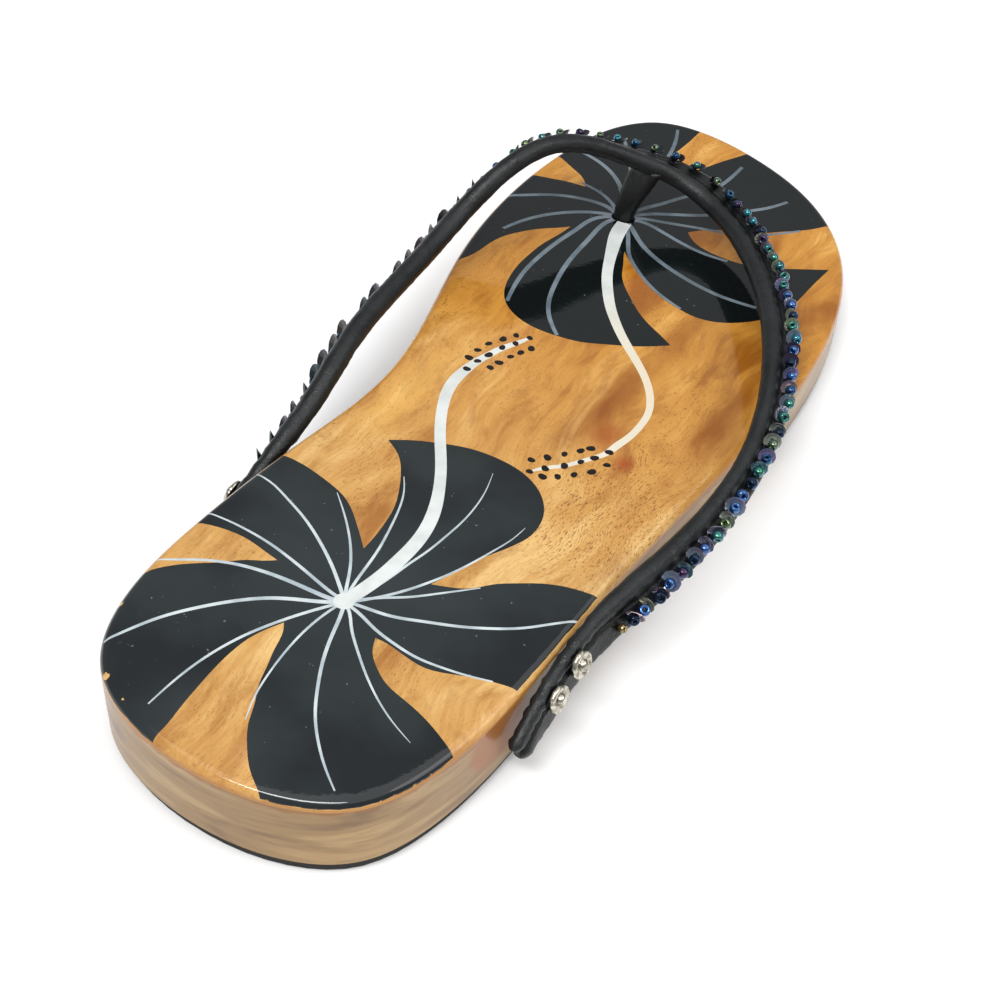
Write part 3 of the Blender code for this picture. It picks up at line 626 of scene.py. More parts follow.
def make_side():
    """The slab's side: paler wood with a soft figure, amber varnish gathered under the edge, and an
    amber pool under the strap's lateral end that is partly varnish, partly painted shadow.
    """
    m = Mix("varnished_wood_side")
    figure = m.noise((0.022, 0.02, 0.14), 3.0, 0.55, 0.7)
    fine = m.noise((0.16, 0.16, 1.1), 3.0, 0.6)
    colour = m.ramp(figure, 0.36, (166, 134, 86), (142, 110, 64), (112, 82, 44))
    colour = m.mix(m.span(fine, 0.42, 0.72, 0.0, 0.3), colour, (106, 72, 38))
    amber = m.span(m.below(m.noise((0.3, 0.3, 0.2), 3.0), 3.0), 3.1, 2.2, 0.0, 0.85)
    colour = m.mix(amber, colour, (132, 82, 8))
    # amber varnish pooled under the strap's lateral end, darkened further as painted shadow of the
    # strap
    varnish_pool_and_shadow = m.spot((41.0, 40.0, 14.0), (5.0, 11.0, 9.0), 0.25)
    m.set(Base_Color=m.wash(colour, varnish_pool_and_shadow, 0.85, (146, 84, 22)))
    return varnish(m, roughness=0.5, coat=0.5, coat_roughness=0.16, specular=0.3)


def make_paint():
    """Black paint under the varnish, chipped and rubbed along the heel's edge, scuffed, dusty, with
    a painted sheen over the heel and painted shade towards the toe.
    """
    m = Mix("black_paint")
    y = m.along_foot()
    cloud = m.noise((0.04, 0.04, 0.05), 3.0)
    colour = m.mix(m.span(cloud, 0.35, 0.65), (20, 25, 28), (36, 42, 43))
    # painted shade: the paint darkens towards the toe, where it mirrors less light
    colour = m.mix(m.span(y, 90.0, 150.0), colour, (14, 19, 20))
    # painted sheen: paler patches behind and ahead of the heel flower's centre stand in for a soft
    # reflection on the paint
    behind = m.spot((-2.0, 9.0, 21.0), (20.0, 14.0, 30.0))
    ahead = m.spot((2.0, 58.0, 21.0), (34.0, 22.0, 30.0))
    colour = m.wash(colour, m.math("MAXIMUM", behind, ahead), 0.6, (48, 54, 57))
    dust = m.span(m.noise(0.9, 1.0), 0.775, 0.79)
    colour = m.wash(colour, dust, 0.4, (140, 144, 142))
    scuff = m.span(m.noise((0.3, 1.3, 0.5), 3.0, 0.7), 0.64, 0.8)
    worn = m.spot((-24.0, 19.0, 21.0), (13.0, 12.0, 30.0), 0.8)
    colour = m.wash(colour, m.math("MULTIPLY", scuff, worn), 0.4, (120, 124, 122))
    ragged = m.noise((0.55, 0.55, 0.6), 3.0, 0.6)
    chips = 0.0
    for centre, reach in PAINT_CHIPS:
        chips = m.math("MAXIMUM", chips, m.spot(centre, reach))
    chips = m.span(m.math("ADD", chips, m.wander(ragged, 1.6)), 0.5, 0.6)
    rubbed = m.math("MULTIPLY", m.span(m.below(ragged, 3.0), 1.35, 1.75), m.span(y, 60.0, 34.0))
    bare = m.math("MAXIMUM", chips, m.math("MULTIPLY", rubbed, 0.85))
    m.set(Base_Color=m.mix(bare, colour, wood_colour(m)[0]))
    return varnish(m, 0.3)


def make_line(name, colour, other, aged=None):
    """A brushed line of paint, a little uneven; an aged one is creamy in the sole's middle."""
    m = Mix(name)
    shade = m.mix(m.span(m.noise(0.16, roughness=0.6), 0.3, 0.7), colour, other)
    if aged:
        shade = m.mix(m.spot((14.0, 132.0, 17.0), (40.0, 52.0, PATCH_DEPTH)), shade, aged)
    m.set(Base_Color=shade)
    return varnish(m, 0.35)


def make_mortise():
    m = Mix("mortise_wood")
    # painted shade: the mortise's walls and floor are coloured dark brown for the shade inside the
    # hole
    colour = m.mix(m.noise((0.4, 0.4, 0.1)), (60, 34, 16), (96, 58, 28))
    return m.set(Base_Color=colour, Roughness=0.8)


def make_matt(name, scale, dark, light, roughness, depth, strength):
    """A matt stuff between two colours, with a relief of its own nap or crumb."""
    m = Mix(name)
    nap = m.noise(scale, 4.0, 0.7)
    relief = m.bump(nap, depth, strength)
    return m.set(Base_Color=m.mix(nap, dark, light), Roughness=roughness, Normal=relief)


def make_leather():
    """Black grained leather, with painted shade that makes it blacker in the crease beside the roll
    and on the post.
    """
    m = Mix("black_leather_upper")
    inputs = {"Vector": m.where(), "Scale": 1.5}
    grain = m.node("ShaderNodeTexVoronoi", inputs, feature="DISTANCE_TO_EDGE")
    cells = m.bump(m.span(grain.outputs["Distance"], 0.0, 0.35), 0.035, 0.8)
    wear = m.noise(0.12, 3.0)
    colour = m.mix(m.span(wear, 0.35, 0.7), (10, 13, 14), (23, 27, 28))
    return m.set(
        # painted shade: the fold attribute darkens the roll's outer side and the crease beside it,
        # the band by half as much, and the toe post
        Base_Color=m.wash(colour, m.attribute("fold"), 0.9, (2, 3, 3)),
        Roughness=m.span(wear, 0.3, 0.7, 0.32, 0.46),
        Specular_IOR_Level=0.4,
        Normal=m.bump(m.noise(0.5, 4.0, 0.65, 0.6), 0.3, 0.6, after=cells),
    )


def make_nickel():
    m = Mix("polished_nickel")
    tarnish = m.noise(0.8, 4.0, 0.65)
    return m.set(
        Base_Color=m.mix(m.span(tarnish, 0.35, 0.7), (208, 203, 190), (118, 110, 92)),
        Roughness=m.span(tarnish, 0.3, 0.75, 0.14, 0.36),
        Metallic=1.0,
        Normal=m.bump(tarnish, 0.12, 0.4),
    )


def make_iridescent(name, metallic, roughness):
    """Metallised plastic or glass: each piece's own colour, turning to its second at the edge."""
    m = Mix(name)
    facing = m.node("ShaderNodeLayerWeight", {"Blend": 0.45}).outputs["Facing"]
    turn = m.math("ADD", facing, m.wander(m.noise(0.35), 0.9), clamp=True)
    first, second = (m.attribute(layer, "Color") for layer in ("tint", "tint_edge"))
    return m.set(
        Base_Color=m.mix(turn, first, second), Metallic=metallic, Roughness=roughness,
        Coat_Weight=m.span(m.attribute("tint"), 0.01, 0.08, 0.12, 0.8), Coat_Roughness=0.05,
    )


# --- mesh helpers
def ripple(x, y, z):
    return noise.noise(Vector((x, y, z)))


def add_object(name, data):
    made = bpy.data.objects.new(name, data)
    bpy.context.scene.collection.objects.link(made)
    return made


def new_piece(name, vertices, faces, materials, material_of=None, sharp=None):
    """A piece from points in millimetres, smooth but for edges sharper than some degrees."""
    mesh = bpy.data.meshes.new(name)
    mesh.from_pydata([place(v) for v in vertices], [], faces)
    for material in materials:
        mesh.materials.append(material)
    if material_of is not None:
        mesh.polygons.foreach_set("material_index", material_of)
    mesh.shade_smooth()
    if sharp is not None:
        mesh.set_sharp_from_angle(angle=math.radians(sharp))
    mesh.update()
    return add_object(name, mesh)


def ring_faces(rings, count, start=0):
    """Faces of a tube of rings with so many points each."""
    faces = []
    for a in range(start, start + (rings - 1) * count, count):
        for i in range(count):
            j = (i + 1) % count
            faces.append((a + i, a + j, a + count + j, a + count + i))
    return faces


def fill_loops(loops, extra):
    """Triangles that fill closed loops: points, triangles, and the loops that each lies in."""
    points, faces = [], []
    for loop in loops:
        loop = [Vector((float(p[0]), float(p[1]))) for p in loop]
        if sum(a.x * b.y - b.x * a.y for a, b in zip(loop, loop[1:] + loop[:1])) < 0:
            loop.reverse()
        faces.append(list(range(len(points), len(points) + len(loop))))
        points += loop
    points += [Vector(p) for p in extra]
    found = geometry.delaunay_2d_cdt(points, [], faces, 1, 1e-5, True)
    return [np.array(v) for v in found[0]], found[2], found[5]


def border_of(triangles):
    """The closed loops of vertex numbers round a set of triangles, in the triangles' direction."""
    used = {(t[i], t[(i + 1) % len(t)]) for t in triangles for i in range(len(t))}
    ahead = {a: b for a, b in used if (b, a) not in used}
    loops = []
    while ahead:
        start, here = ahead.popitem()
        loop = [start]
        while here != start:
            loop.append(here)
            here = ahead.pop(here)
        loops.append(loop)
    return loops


def inside_grid(step, margin):
    """Points of an even grid, a little offset row by row, that lie a margin inside the rim."""
    points = []
    for y in np.arange(step, LENGTH, step):
        for x in np.arange(-50, 50, step):
            near = nearest_rim((x, y))
            if (RIM[near] - (x, y)) @ RIM_OUT[near] > margin:
                points.append((x + 0.13 * math.sin(y), y))
    return points


def rim_distance(points):
    """Distance of each point from the rim, counted inwards."""
    ab = np.roll(RIM, -1, axis=0) - RIM
    found = []
    for p in points:
        t = np.clip(((p - RIM) * ab).sum(axis=1) / (ab**2).sum(axis=1), 0, 1)
        found.append(math.sqrt(float((((RIM + t[:, None] * ab) - p) ** 2).sum(axis=1).min())))
    return np.array(found)


# --- the sole
def petal_loops(centre, petals):
    """A closed loop for each petal, by way of the flower's centre."""
    corner = petals[-1][-1][-1]
    loops = []
    for petal in petals:
        loop = [np.array(centre)]
        for edge in petal:
            loop += smooth_run((corner, *edge), PETAL_STEP)[:-1]
            corner = edge[-1]
        loops.append(loop + [np.array(corner, float)])
    return loops


def ribbon_loop(rows):
    """Closed loop round a line given as rows of x, y and width."""
    points = smooth_run(rows, LINE_STEP)
    left, right = [], []
    for i, here in enumerate(points):
        along = points[min(i + 1, len(points) - 1)][:2] - points[max(i - 1, 0)][:2]
        along = along / np.linalg.norm(along)
        side = 0.5 * here[2] * np.array((-along[1], along[0]))
        left.append(here[:2] + side)
        right.append(here[:2] - side)
    return left + right[::-1]


def vein_loop(tip, root, *points):
    """Closed loop round a vein that swells quickly from its tip, then slowly to the centre."""
    last = len(points) - 1
    return ribbon_loop(
        [(x, y, blend(tip, root, (i / last) ** 0.6)) for i, (x, y) in enumerate(points)]
    )


def round_loop(x, y, count, reach):
    """Closed loop round a point, with a reach for each angle."""
    angles = [math.tau * k / count for k in range(count)]
    return [(x + reach(a) * math.cos(a), y + reach(a) * math.sin(a)) for a in angles]


def dot_loop(x, y, number):
    """A slightly lopsided brushed dot."""
    radius = DOT_RADIUS * (1 + 0.12 * math.sin(4.1 * number))
    lean = 0.6 * number

    def reach(a):
        return radius * (1 + 0.14 * math.cos(2 * (a - lean)) + 0.05 * math.sin(3 * a + number))

    return round_loop(x, y, 12, reach)


def paint_limit():
    """Where the paint stops: just short of the rim, and over the edge round the heel's back."""
    loop = []
    for (x, y), out in zip(RIM, RIM_OUT):
        ragged = 0.22 * ripple(0.35 * x, 0.35 * y, 3.7)
        clear = blend(0.12, 0.8, ease((y - 24) / 14)) + abs(ragged)
        loop.append((x - clear * out[0], y - clear * out[1]))
    return loop


def web_loop(x, y, turn, width, thick):
    """Closed loop round a section of the post: a flat web with round ends."""
    angle, steps = math.radians(turn), 8
    wide = np.array((math.cos(angle), math.sin(angle)))
    deep = np.array((-wide[1], wide[0]))
    corner = 0.5 * thick
    loop = []
    for side in (1, -1):
        for k in range(steps + 1):
            bend = math.radians(-90 + 180 * k / steps)
            along = 0.5 * width - corner + corner * math.cos(bend)
            offset = along * wide + corner * math.sin(bend) * deep
            loop.append(np.array((x, y)) + side * offset)
    return loop


def top_outlines():
    """Every loop that the slab's top face is cut along, with its kind."""
    found = [("rim", RIM)]
    for k in range(EDGE_STEPS):
        reach = EDGE_RADIUS * (1 - math.cos(math.radians(90 / EDGE_STEPS * (k + 1))))
        found.append(("step", RIM - reach * RIM_OUT))
    found.append(("step", RIM - (EDGE_RADIUS + RIM_STEP) * RIM_OUT))
    found.append(("limit", paint_limit()))
    for centre, petals in ((HEEL_CENTRE, HEEL_PETALS), (TOE_CENTRE, TOE_PETALS)):
        found += [("paint", loop) for loop in petal_loops(centre, petals)]
    for kind, veins in (("heel vein", HEEL_VEINS), ("toe vein", TOE_VEINS)):
        found += [(kind, vein_loop(*vein)) for vein in veins]
    found += [("stamen", ribbon_loop(rows)) for rows in (HEEL_STAMEN, TOE_STAMEN)]
    found.append(("stamen", round_loop(*HEEL_HUB, 16, lambda angle: HUB_RADIUS)))
    found += [("dot", dot_loop(x, y, number)) for number, (x, y) in enumerate(DOTS)]
    return found


def top_normal(x, y, inset):
    """The direction that the top face looks in, rounded towards the rim."""
    if inset < EDGE_RADIUS:
        lean = 1 - inset / EDGE_RADIUS
        out = lean * RIM_OUT[nearest_rim((x, y))]
        return unit((*out, math.sqrt(max(0.0, 1 - lean**2))))
    slope = (top_z(y + 0.1) - top_z(y - 0.1)) / 0.2
    return unit((0.0, -slope, 1.0))


class Slab:
    """The slab's mesh while it is made: points, and faces with a finish and corner normals."""

    def __init__(self):
        self.points, self.drops, self.faces, self.groups, self.normals = [], [], [], [], []

    def point(self, across, z, drop):
        """Adds a point that lies a drop below the top face, and gives its number."""
        self.points.append((*across, z))
        self.drops.append(float(drop))
        return len(self.points) - 1

    def face(self, corners, group, normals):
        self.faces.append(tuple(corners))
        self.groups.append(group)
        self.normals += [tuple(normal) for normal in normals]

    def wall(self, upper, lower, group, normals):
        """Adds faces between two rings, with a normal for each point of a ring."""
        for i in range(len(upper)):
            j = (i + 1) % len(upper)
            corners = upper[j], upper[i], lower[i], lower[j]
            self.face(corners, group, [normals[k] for k in (j, i, i, j)])


def top_face():
    """The top face in plan, cut along every painted edge: points, and triangles with a finish."""
    post_x, post_y, _, post_turn, _, _ = POST_SECTIONS[0]
    outlines = top_outlines() + [("hole", web_loop(post_x, post_y, post_turn, *MORTISE_SIZE))]
    grid = inside_grid(GRID_STEP, margin=EDGE_RADIUS + 2.0)
    points, triangles, owners = fill_loops([loop for _, loop in outlines], grid)
    kept = []
    for triangle, owner in zip(triangles, owners):
        held = {outlines[i][0] for i in owner}
        if "rim" not in held or "hole" in held:
            continue
        painted = ("dot", "stamen", "heel vein", "toe vein", "paint") if "limit" in held else ()
        kept.append((triangle, next((kind for kind in painted if kind in held), "wood")))
    used = sorted({i for triangle, _ in kept for i in triangle})
    number_of = {old: new for new, old in enumerate(used)}
    plan = np.array([points[i] for i in used])
    return plan, [([number_of[i] for i in triangle], kind) for triangle, kind in kept]


def add_top(slab):
    """Adds the top face, rounded down at the rim, and gives its points in plan."""
    plan, triangles = top_face()
    inset = rim_distance(plan)
    sunk = np.maximum(0, EDGE_RADIUS - inset)
    drops = EDGE_RADIUS - np.sqrt(np.maximum(0, EDGE_RADIUS**2 - sunk**2))
    normals = [top_normal(x, y, near) for (x, y), near in zip(plan, inset)]
    for here, drop in zip(plan, drops):
        slab.point(here, top_z(here[1]) - drop, drop)
    for corners, kind in triangles:
        slab.face(corners, kind, [normals[i] for i in corners])
    return plan


def add_side(slab, plan, rim):
    """Adds the side and its chamfer below a ring of points, and gives the lowest ring."""
    outward = [RIM_OUT[nearest_rim(plan[i])] for i in rim]
    rows = [rim]
    for part in SIDE_LEVELS:
        row = []
        for x, y in plan[rim]:
            z = blend(top_z(y) - EDGE_RADIUS, under_z(y) + UNDER_CHAMFER, part)
            row.append(slab.point((x, y), z, top_z(y) - z))
        rows.append(row)
    lowest = []
    for here, out in zip(plan[rim], outward):
        low = under_z(here[1])
        lowest.append(slab.point(here - UNDER_CHAMFER * out, low, top_z(here[1]) - low))
    for upper, lower in zip(rows, rows[1:] + [lowest]):
        lean = CHAMFER_LEAN if lower is lowest else 0.0
        slab.wall(upper, lower, "side", [unit((*out, lean)) for out in outward])
    return lowest


def add_underside(slab, ring):
    """Adds the underside within a ring of points."""
    edge = np.array([slab.points[i][:2] for i in ring])
    points, triangles, owners = fill_loops([edge], inside_grid(UNDER_GRID_STEP, margin=3.0))
    numbers = []
    for here in points:
        away = ((edge - here) ** 2).sum(axis=1)
        if away.min() < 1e-8:
            numbers.append(ring[int(away.argmin())])
        else:
            numbers.append(slab.point(here, under_z(here[1]), UNDER_DROP))
    for triangle, owner in zip(triangles, owners):
        if owner:
            corners = [numbers[i] for i in reversed(triangle)]
            slab.face(corners, "under", [(0.0, 0.0, -1.0)] * 3)


def add_mortise(slab, plan, hole):
    """Adds the mortise's walls and floor below a ring of points."""
    centre = np.array(POST_SECTIONS[0][:2])
    floor_z = top_z(centre[1]) - MORTISE_DEPTH
    bottom = [slab.point(plan[i], floor_z, MORTISE_DEPTH) for i in hole]
    slab.wall(hole, bottom, "hole", [(*unit(centre - plan[i]), 0.0) for i in hole])
    slab.face(reversed(bottom), "hole", [(0.0, 0.0, 1.0)] * len(bottom))


def build_sole(materials):
    """The slab as one closed mesh, with a material for each finish."""
    slab = Slab()
    plan = add_top(slab)
    borders = sorted(border_of(slab.faces), key=len)
    add_underside(slab, add_side(slab, plan, rim=borders[-1]))
    add_mortise(slab, plan, hole=borders[0])

    kinds = list(materials)
    piece = new_piece("wooden_slab", slab.points, slab.faces, materials.values(),
                      [kinds.index(group) for group in slab.groups])
    piece.data.attributes.new("drop", "FLOAT", "POINT").data.foreach_set("value", slab.drops)
    piece.data.normals_split_custom_set(slab.normals)
    return piece


# --- the strap
def strap_section(width, roll, flat, pinch):
    """Closed section (u, v, lining): padded roll, crease and band above, the same below."""
    start = 1.25 * roll + 0.2
    reach = width - 0.8 - start
    middle, half = 0.5 * (width + roll), 0.5 * (width - roll)

    def band(u, level):
        lobe = LOBE_RADIUS * math.sqrt(max(0.0, 1 - ((u - middle) / half) ** 2))
        return blend(blend(level, 0.92 * roll, flat), lobe, pinch)

    def arc(*degrees):
        turns = [(math.radians(a), a) for a in degrees]
        return [(roll * math.cos(t), roll * math.sin(t), -110 < a < 0) for t, a in turns]

    crease = blend(blend(CREASE, 0.5 * roll, flat), WAIST, pinch)
    under_crease = blend(blend(UNDER_CREASE, 0.9 * roll, flat), WAIST, pinch)
    section = arc(180, 166, 150, 132, 114, 96, 78, 60, 46, 36)
    section += [(roll, 0.5 * (crease + 0.6 * roll), False), (1.06 * roll, crease, False)]
    for part in (0.0, 0.12, 0.3, 0.55, 0.8, 1.0):
        u = start + reach * part
        section.append((u, band(u, BAND_TOP), False))
    section += [
        (width - 0.25, band(width - 0.8, BAND_TOP) * 0.62, False),
        (width, -0.25, False),
        (width - 0.2, -band(width - 0.8, BAND_UNDER) * 0.66, True),
    ]
    for part in (1.0, 0.75, 0.5, 0.25, 0.0):
        u = start + reach * part
        section.append((u, -band(u, BAND_UNDER), True))
    section.append((1.04 * roll, -under_crease, True))
    return section + arc(-36, -60, -84, -108, -132, -156)


def strap_rings(step):
    """The strap's sections in place, the painted shade at each point, and which points are lining.
    """
    count = round(STRAP.length / step)
    ends = (0.15, 0.4, 0.8, 1.3, 2.0)
    stations = {STRAP.length * i / count for i in range(count + 1)}
    stations |= set(ends) | {STRAP.length - end for end in ends}
    rings, crease_shades = [], []
    for s in sorted(stations):
        from_end = min(s, STRAP.length - s)
        flat = 1 - ease((from_end - FLAT_LENGTH) / FLAT_FADE)
        pinch = 1 - ease(from_end / PINCH_LENGTH)
        still_open = 1 - min(1.0, (from_end + CLOSE_START) / CLOSE_LENGTH)
        close = math.sqrt(max(0.0, 1 - still_open**2))
        notch_here = NOTCH_DEPTH * max(0.0, 1 - from_end / NOTCH_LENGTH)
        middle, along, out, face, width, roll = STRAP.frame(s)
        roll *= blend(ROLL_PART, FLAT_ROLL_PART, flat)
        section = strap_section(width, roll, flat, pinch)
        ring = []
        for u, v, _ in section:
            fold = ripple(0.9 * s, 0.7 * u, 0.6 * v)
            crimp = ripple(0.28 * s, 1.6 * u, 7.3)
            gather = ripple(0.75 * s, 0.25 * u, 4.1) * blend(0.08, 0.42, flat)
            swell = 0.1 * fold + (0.1 + 0.4 * pinch) * crimp + gather
            slack = 0.16 * ripple(0.16 * s, 0.3 * u, 1.9)
            size = math.hypot(u, v) + 1e-6
            u += (swell + slack) * u / size * 0.6
            v += (swell + slack) * (v / size) * close
            notch = notch_here * math.exp(-(((u - 1.1 * roll) / NOTCH_WIDTH) ** 2))
            inward = notch if 2 * s < STRAP.length else -notch
            lobe = 0.0 if u < 1.03 * roll else 0.5 * (width + roll)
            across = lobe + (u - lobe) * (0.45 + 0.55 * close)
            ring.append(middle + inward * along + across * out + v * close * face)
            # painted shade: full on the roll's outer side and in the crease, half of it on the band
            faded = blend(1.0, 0.5, ease((u - 1.3 * roll) / 1.5))
            crease_shades.append(ease((u / roll - 0.4) / 0.5) * faded)
        rings.append(ring)
    return rings, crease_shades, [under for _, _, under in section]


def post_mesh(start):
    """The toe post: its points, and its faces with the points numbered from a start."""
    curve = spline_through(POST_SECTIONS, closed=False)
    vertices = []
    for k in range(POST_STEPS + 1):
        part = k * (len(POST_SECTIONS) - 1) / POST_STEPS
        x, y, rise, turn, width, thick = [float(c) for c in curve(part)]
        width *= 1 + 0.02 * math.sin(2.3 * k)
        thick *= 1 + 0.05 * math.sin(1.7 * k) * math.sin(0.4 * k)
        loop = web_loop(x, y, turn, width, thick)
        vertices += [Vector((*p, top_z(y) + rise)) for p in loop]
    around, end = len(loop), start + len(vertices)
    faces = ring_faces(POST_STEPS + 1, around, start)
    faces += [tuple(reversed(range(start, start + around))), tuple(range(end - around, end))]
    return vertices, faces


def build_strap(leather, lining):
    rings, crease_shades, under = strap_rings(STRAP_STEP)
    count = len(rings[0])
    vertices = [v for ring in rings for v in ring]
    faces = [tuple(reversed(f)) for f in ring_faces(len(rings), count)]
    groups = [int(under[f[0] % count] and under[(f[0] + 1) % count]) for f in faces]
    for ring, s, flip in ((0, 0.0, False), (len(rings) - 1, STRAP.length, True)):
        hub, depth = len(vertices), -NOTCH_DEPTH if flip else NOTCH_DEPTH
        vertices.append(sum(rings[ring], Vector()) / count + depth * STRAP.frame(s)[1])
        for i in range(count):
            face = (ring * count + (i + 1) % count, ring * count + i, hub)
            faces.append(face if flip else tuple(reversed(face)))
    post_vertices, post_faces = post_mesh(start=len(vertices))
    vertices += post_vertices
    faces += post_faces
    groups += [0] * (len(faces) - len(groups))
    # the toe post gets painted shade too
    crease_shades += [POST_PAINTED_SHADE] * (len(vertices) - len(crease_shades))
    piece = new_piece("strap_leather", vertices, faces, [leather, lining], groups)
    piece.data.attributes.new("fold", "FLOAT", "POINT").data.foreach_set("value", crease_shades)
    return piece


# --- trimmings
# Each branch of the row: the direction of the toe along the strap, one sequin to the next, lean
# from least to most (degrees), sequin radius, distance from the roll's axis, bead radius
Branch = namedtuple("Branch", "toeward pitch lean radius across bead")
MEDIAL = Branch(toeward=1.0, pitch=4.6, lean=(31, 42), radius=2.5, across=4.5, bead=1.1)
LATERAL = Branch(toeward=-1.0, pitch=3.72, lean=(50, 82), radius=2.05, across=4.1, bead=1.28)
TRIM_START, LATERAL_TRIM_START = 25.0, 36.0  # distance of the row from the strap's ends
POST_LEAN, POST_REACH = 30, 90.0  # lean at the post, and how far that is felt
TUCK_ACROSS, TUCK_DOWN = 1.3, 0.4  # how the medial row is tucked to the roll
SEQUIN_LOSS = 0.05  # the part of the sequins that are missing
SEQUIN_RISE = 0.35  # height of a sequin's seat over the band
SEQUIN_PAINTED_SHADE = 0.08  # painted shade: the medial sequins' colours are darkened nearly to black, the lateral ones towards the post
# from least to most: parts of the radius, turns in degrees, shifts in millimetres
SEQUIN_SIZES, SEQUIN_ROLL, SEQUIN_TURN = (0.86, 1.06), (-16, 12), (-25, 25)
SEQUIN_ALONG, SEQUIN_ACROSS = (-0.3, 0.3), (-0.35, 0.4)
BEAD_SIZES, BEAD_ROLL, BEAD_TURN = (0.9, 1.06), (-75, 75), (-60, 75)
BEAD_BACK, BEAD_OUT = (0.2, 0.7), (0.0, 0.5)
# a bead's or sequin's own colour, and its colour towards the edge
BEAD_TINTS = (
    ((34, 92, 150), (70, 40, 110)), ((28, 124, 128), (30, 50, 140)),
    ((20, 40, 88), (30, 120, 140)), ((92, 108, 60), (40, 90, 120)),
    ((30, 110, 84), (50, 60, 140)), ((58, 38, 66), (40, 80, 130)),
    ((14, 20, 34), (50, 90, 130)),
)
SEQUIN_TINTS = (
    ((196, 204, 184), (124, 108, 150)), ((206, 178, 172), (116, 104, 160)),
    ((152, 172, 184), (164, 126, 156)), ((176, 156, 200), (80, 132, 158)),
    ((84, 78, 98), (124, 94, 128)), ((200, 190, 158), (110, 150, 146)),
    ((108, 174, 174), (122, 100, 146)),
)
# the row's last bead, golden, behind the lateral sequins
GOLD_TINT, GOLD_RADIUS = ((150, 128, 84), (90, 76, 52)), 0.95
GOLD_BEHIND, GOLD_ACROSS, GOLD_RISE = 2.0, 4.6, 0.9
# radius and height round a closed section, as parts of the bead's or sequin's radius
BEAD_PROFILE = tuple(
    (0.6 + 0.4 * math.cos(math.radians(a)), 0.78 * math.sin(math.radians(a)))
    for a in range(-90, 270, 30)
)
SEQUIN_PROFILE = ((0.26, 0.0), (0.5, 0.02), (1.0, 0.3), (1.0, 0.35), (0.5, 0.08), (0.26, 0.05))
# radius and height from a stud's underside over its rim to the nail in its middle
STUD_PROFILE = (
    (0.84, 0.0), (0.97, 0.1), (1.0, 0.26), (0.97, 0.44), (0.88, 0.56), (0.76, 0.6), (0.66, 0.56),
    (0.56, 0.47), (0.5, 0.44), (0.45, 0.47), (0.43, 0.62), (0.38, 0.8), (0.27, 0.93), (0.14, 0.99),
)


class Batch:
    """Many small bodies gathered into one mesh, each with its two tints."""

    def __init__(self, profile, around):
        self.profile, self.around = profile, around
        self.vertices, self.faces, self.layers = [], [], {"tint": [], "tint_edge": []}

    def add(self, seat, axis, side, scale, tints, painted_shade_factor=1.0):
        """Adds the profile turned round an axis, with its own colour and its edge colour, both
        darkened by a painted shade factor.
        """
        start, rows = len(self.vertices), len(self.profile)
        other = axis.cross(side)
        for reach, height in self.profile:
            for i in range(self.around):
                angle = math.tau * i / self.around
                spoke = math.cos(angle) * side + math.sin(angle) * other
                self.vertices.append(seat + scale * (reach * spoke + height * axis))
        for r in range(rows):
            for i in range(self.around):
                j, above = (i + 1) % self.around, (r + 1) % rows
                ring, ahead = start + r * self.around, start + above * self.around
                self.faces.append((ring + i, ring + j, ahead + j, ahead + i))
        for layer, tint in zip(self.layers.values(), tints):
            colour = [painted_shade_factor * c for c in srgb(tint)[:3]] + [1.0]
            layer.extend(colour * (rows * self.around))

    def build(self, name, material, sharp):
        piece = new_piece(name, self.vertices, self.faces, [material], sharp=sharp)
        for layer, colours in self.layers.items():
            made = piece.data.color_attributes.new(layer, "FLOAT_COLOR", "POINT")
            made.data.foreach_set("color", colours)
        return piece


def tilted(vector, axis, degrees):
    return Matrix.Rotation(math.radians(degrees), 3, axis) @ vector


def row_stations(rng):
    """Where each sequin is sewn along the strap, and on which branch."""
    end = STRAP.length - LATERAL_TRIM_START
    stations = []
    for start, stop, branch in ((TRIM_START, POST_RUN, MEDIAL), (POST_RUN, end, LATERAL)):
        count = round((stop - start) / branch.pitch)
        for i in range(count):
            s = start + (stop - start) * (i + 0.5) / count + rng.uniform(*SEQUIN_ALONG)
            stations.append((s, LATERAL if s > POST_RUN else MEDIAL))
    return stations


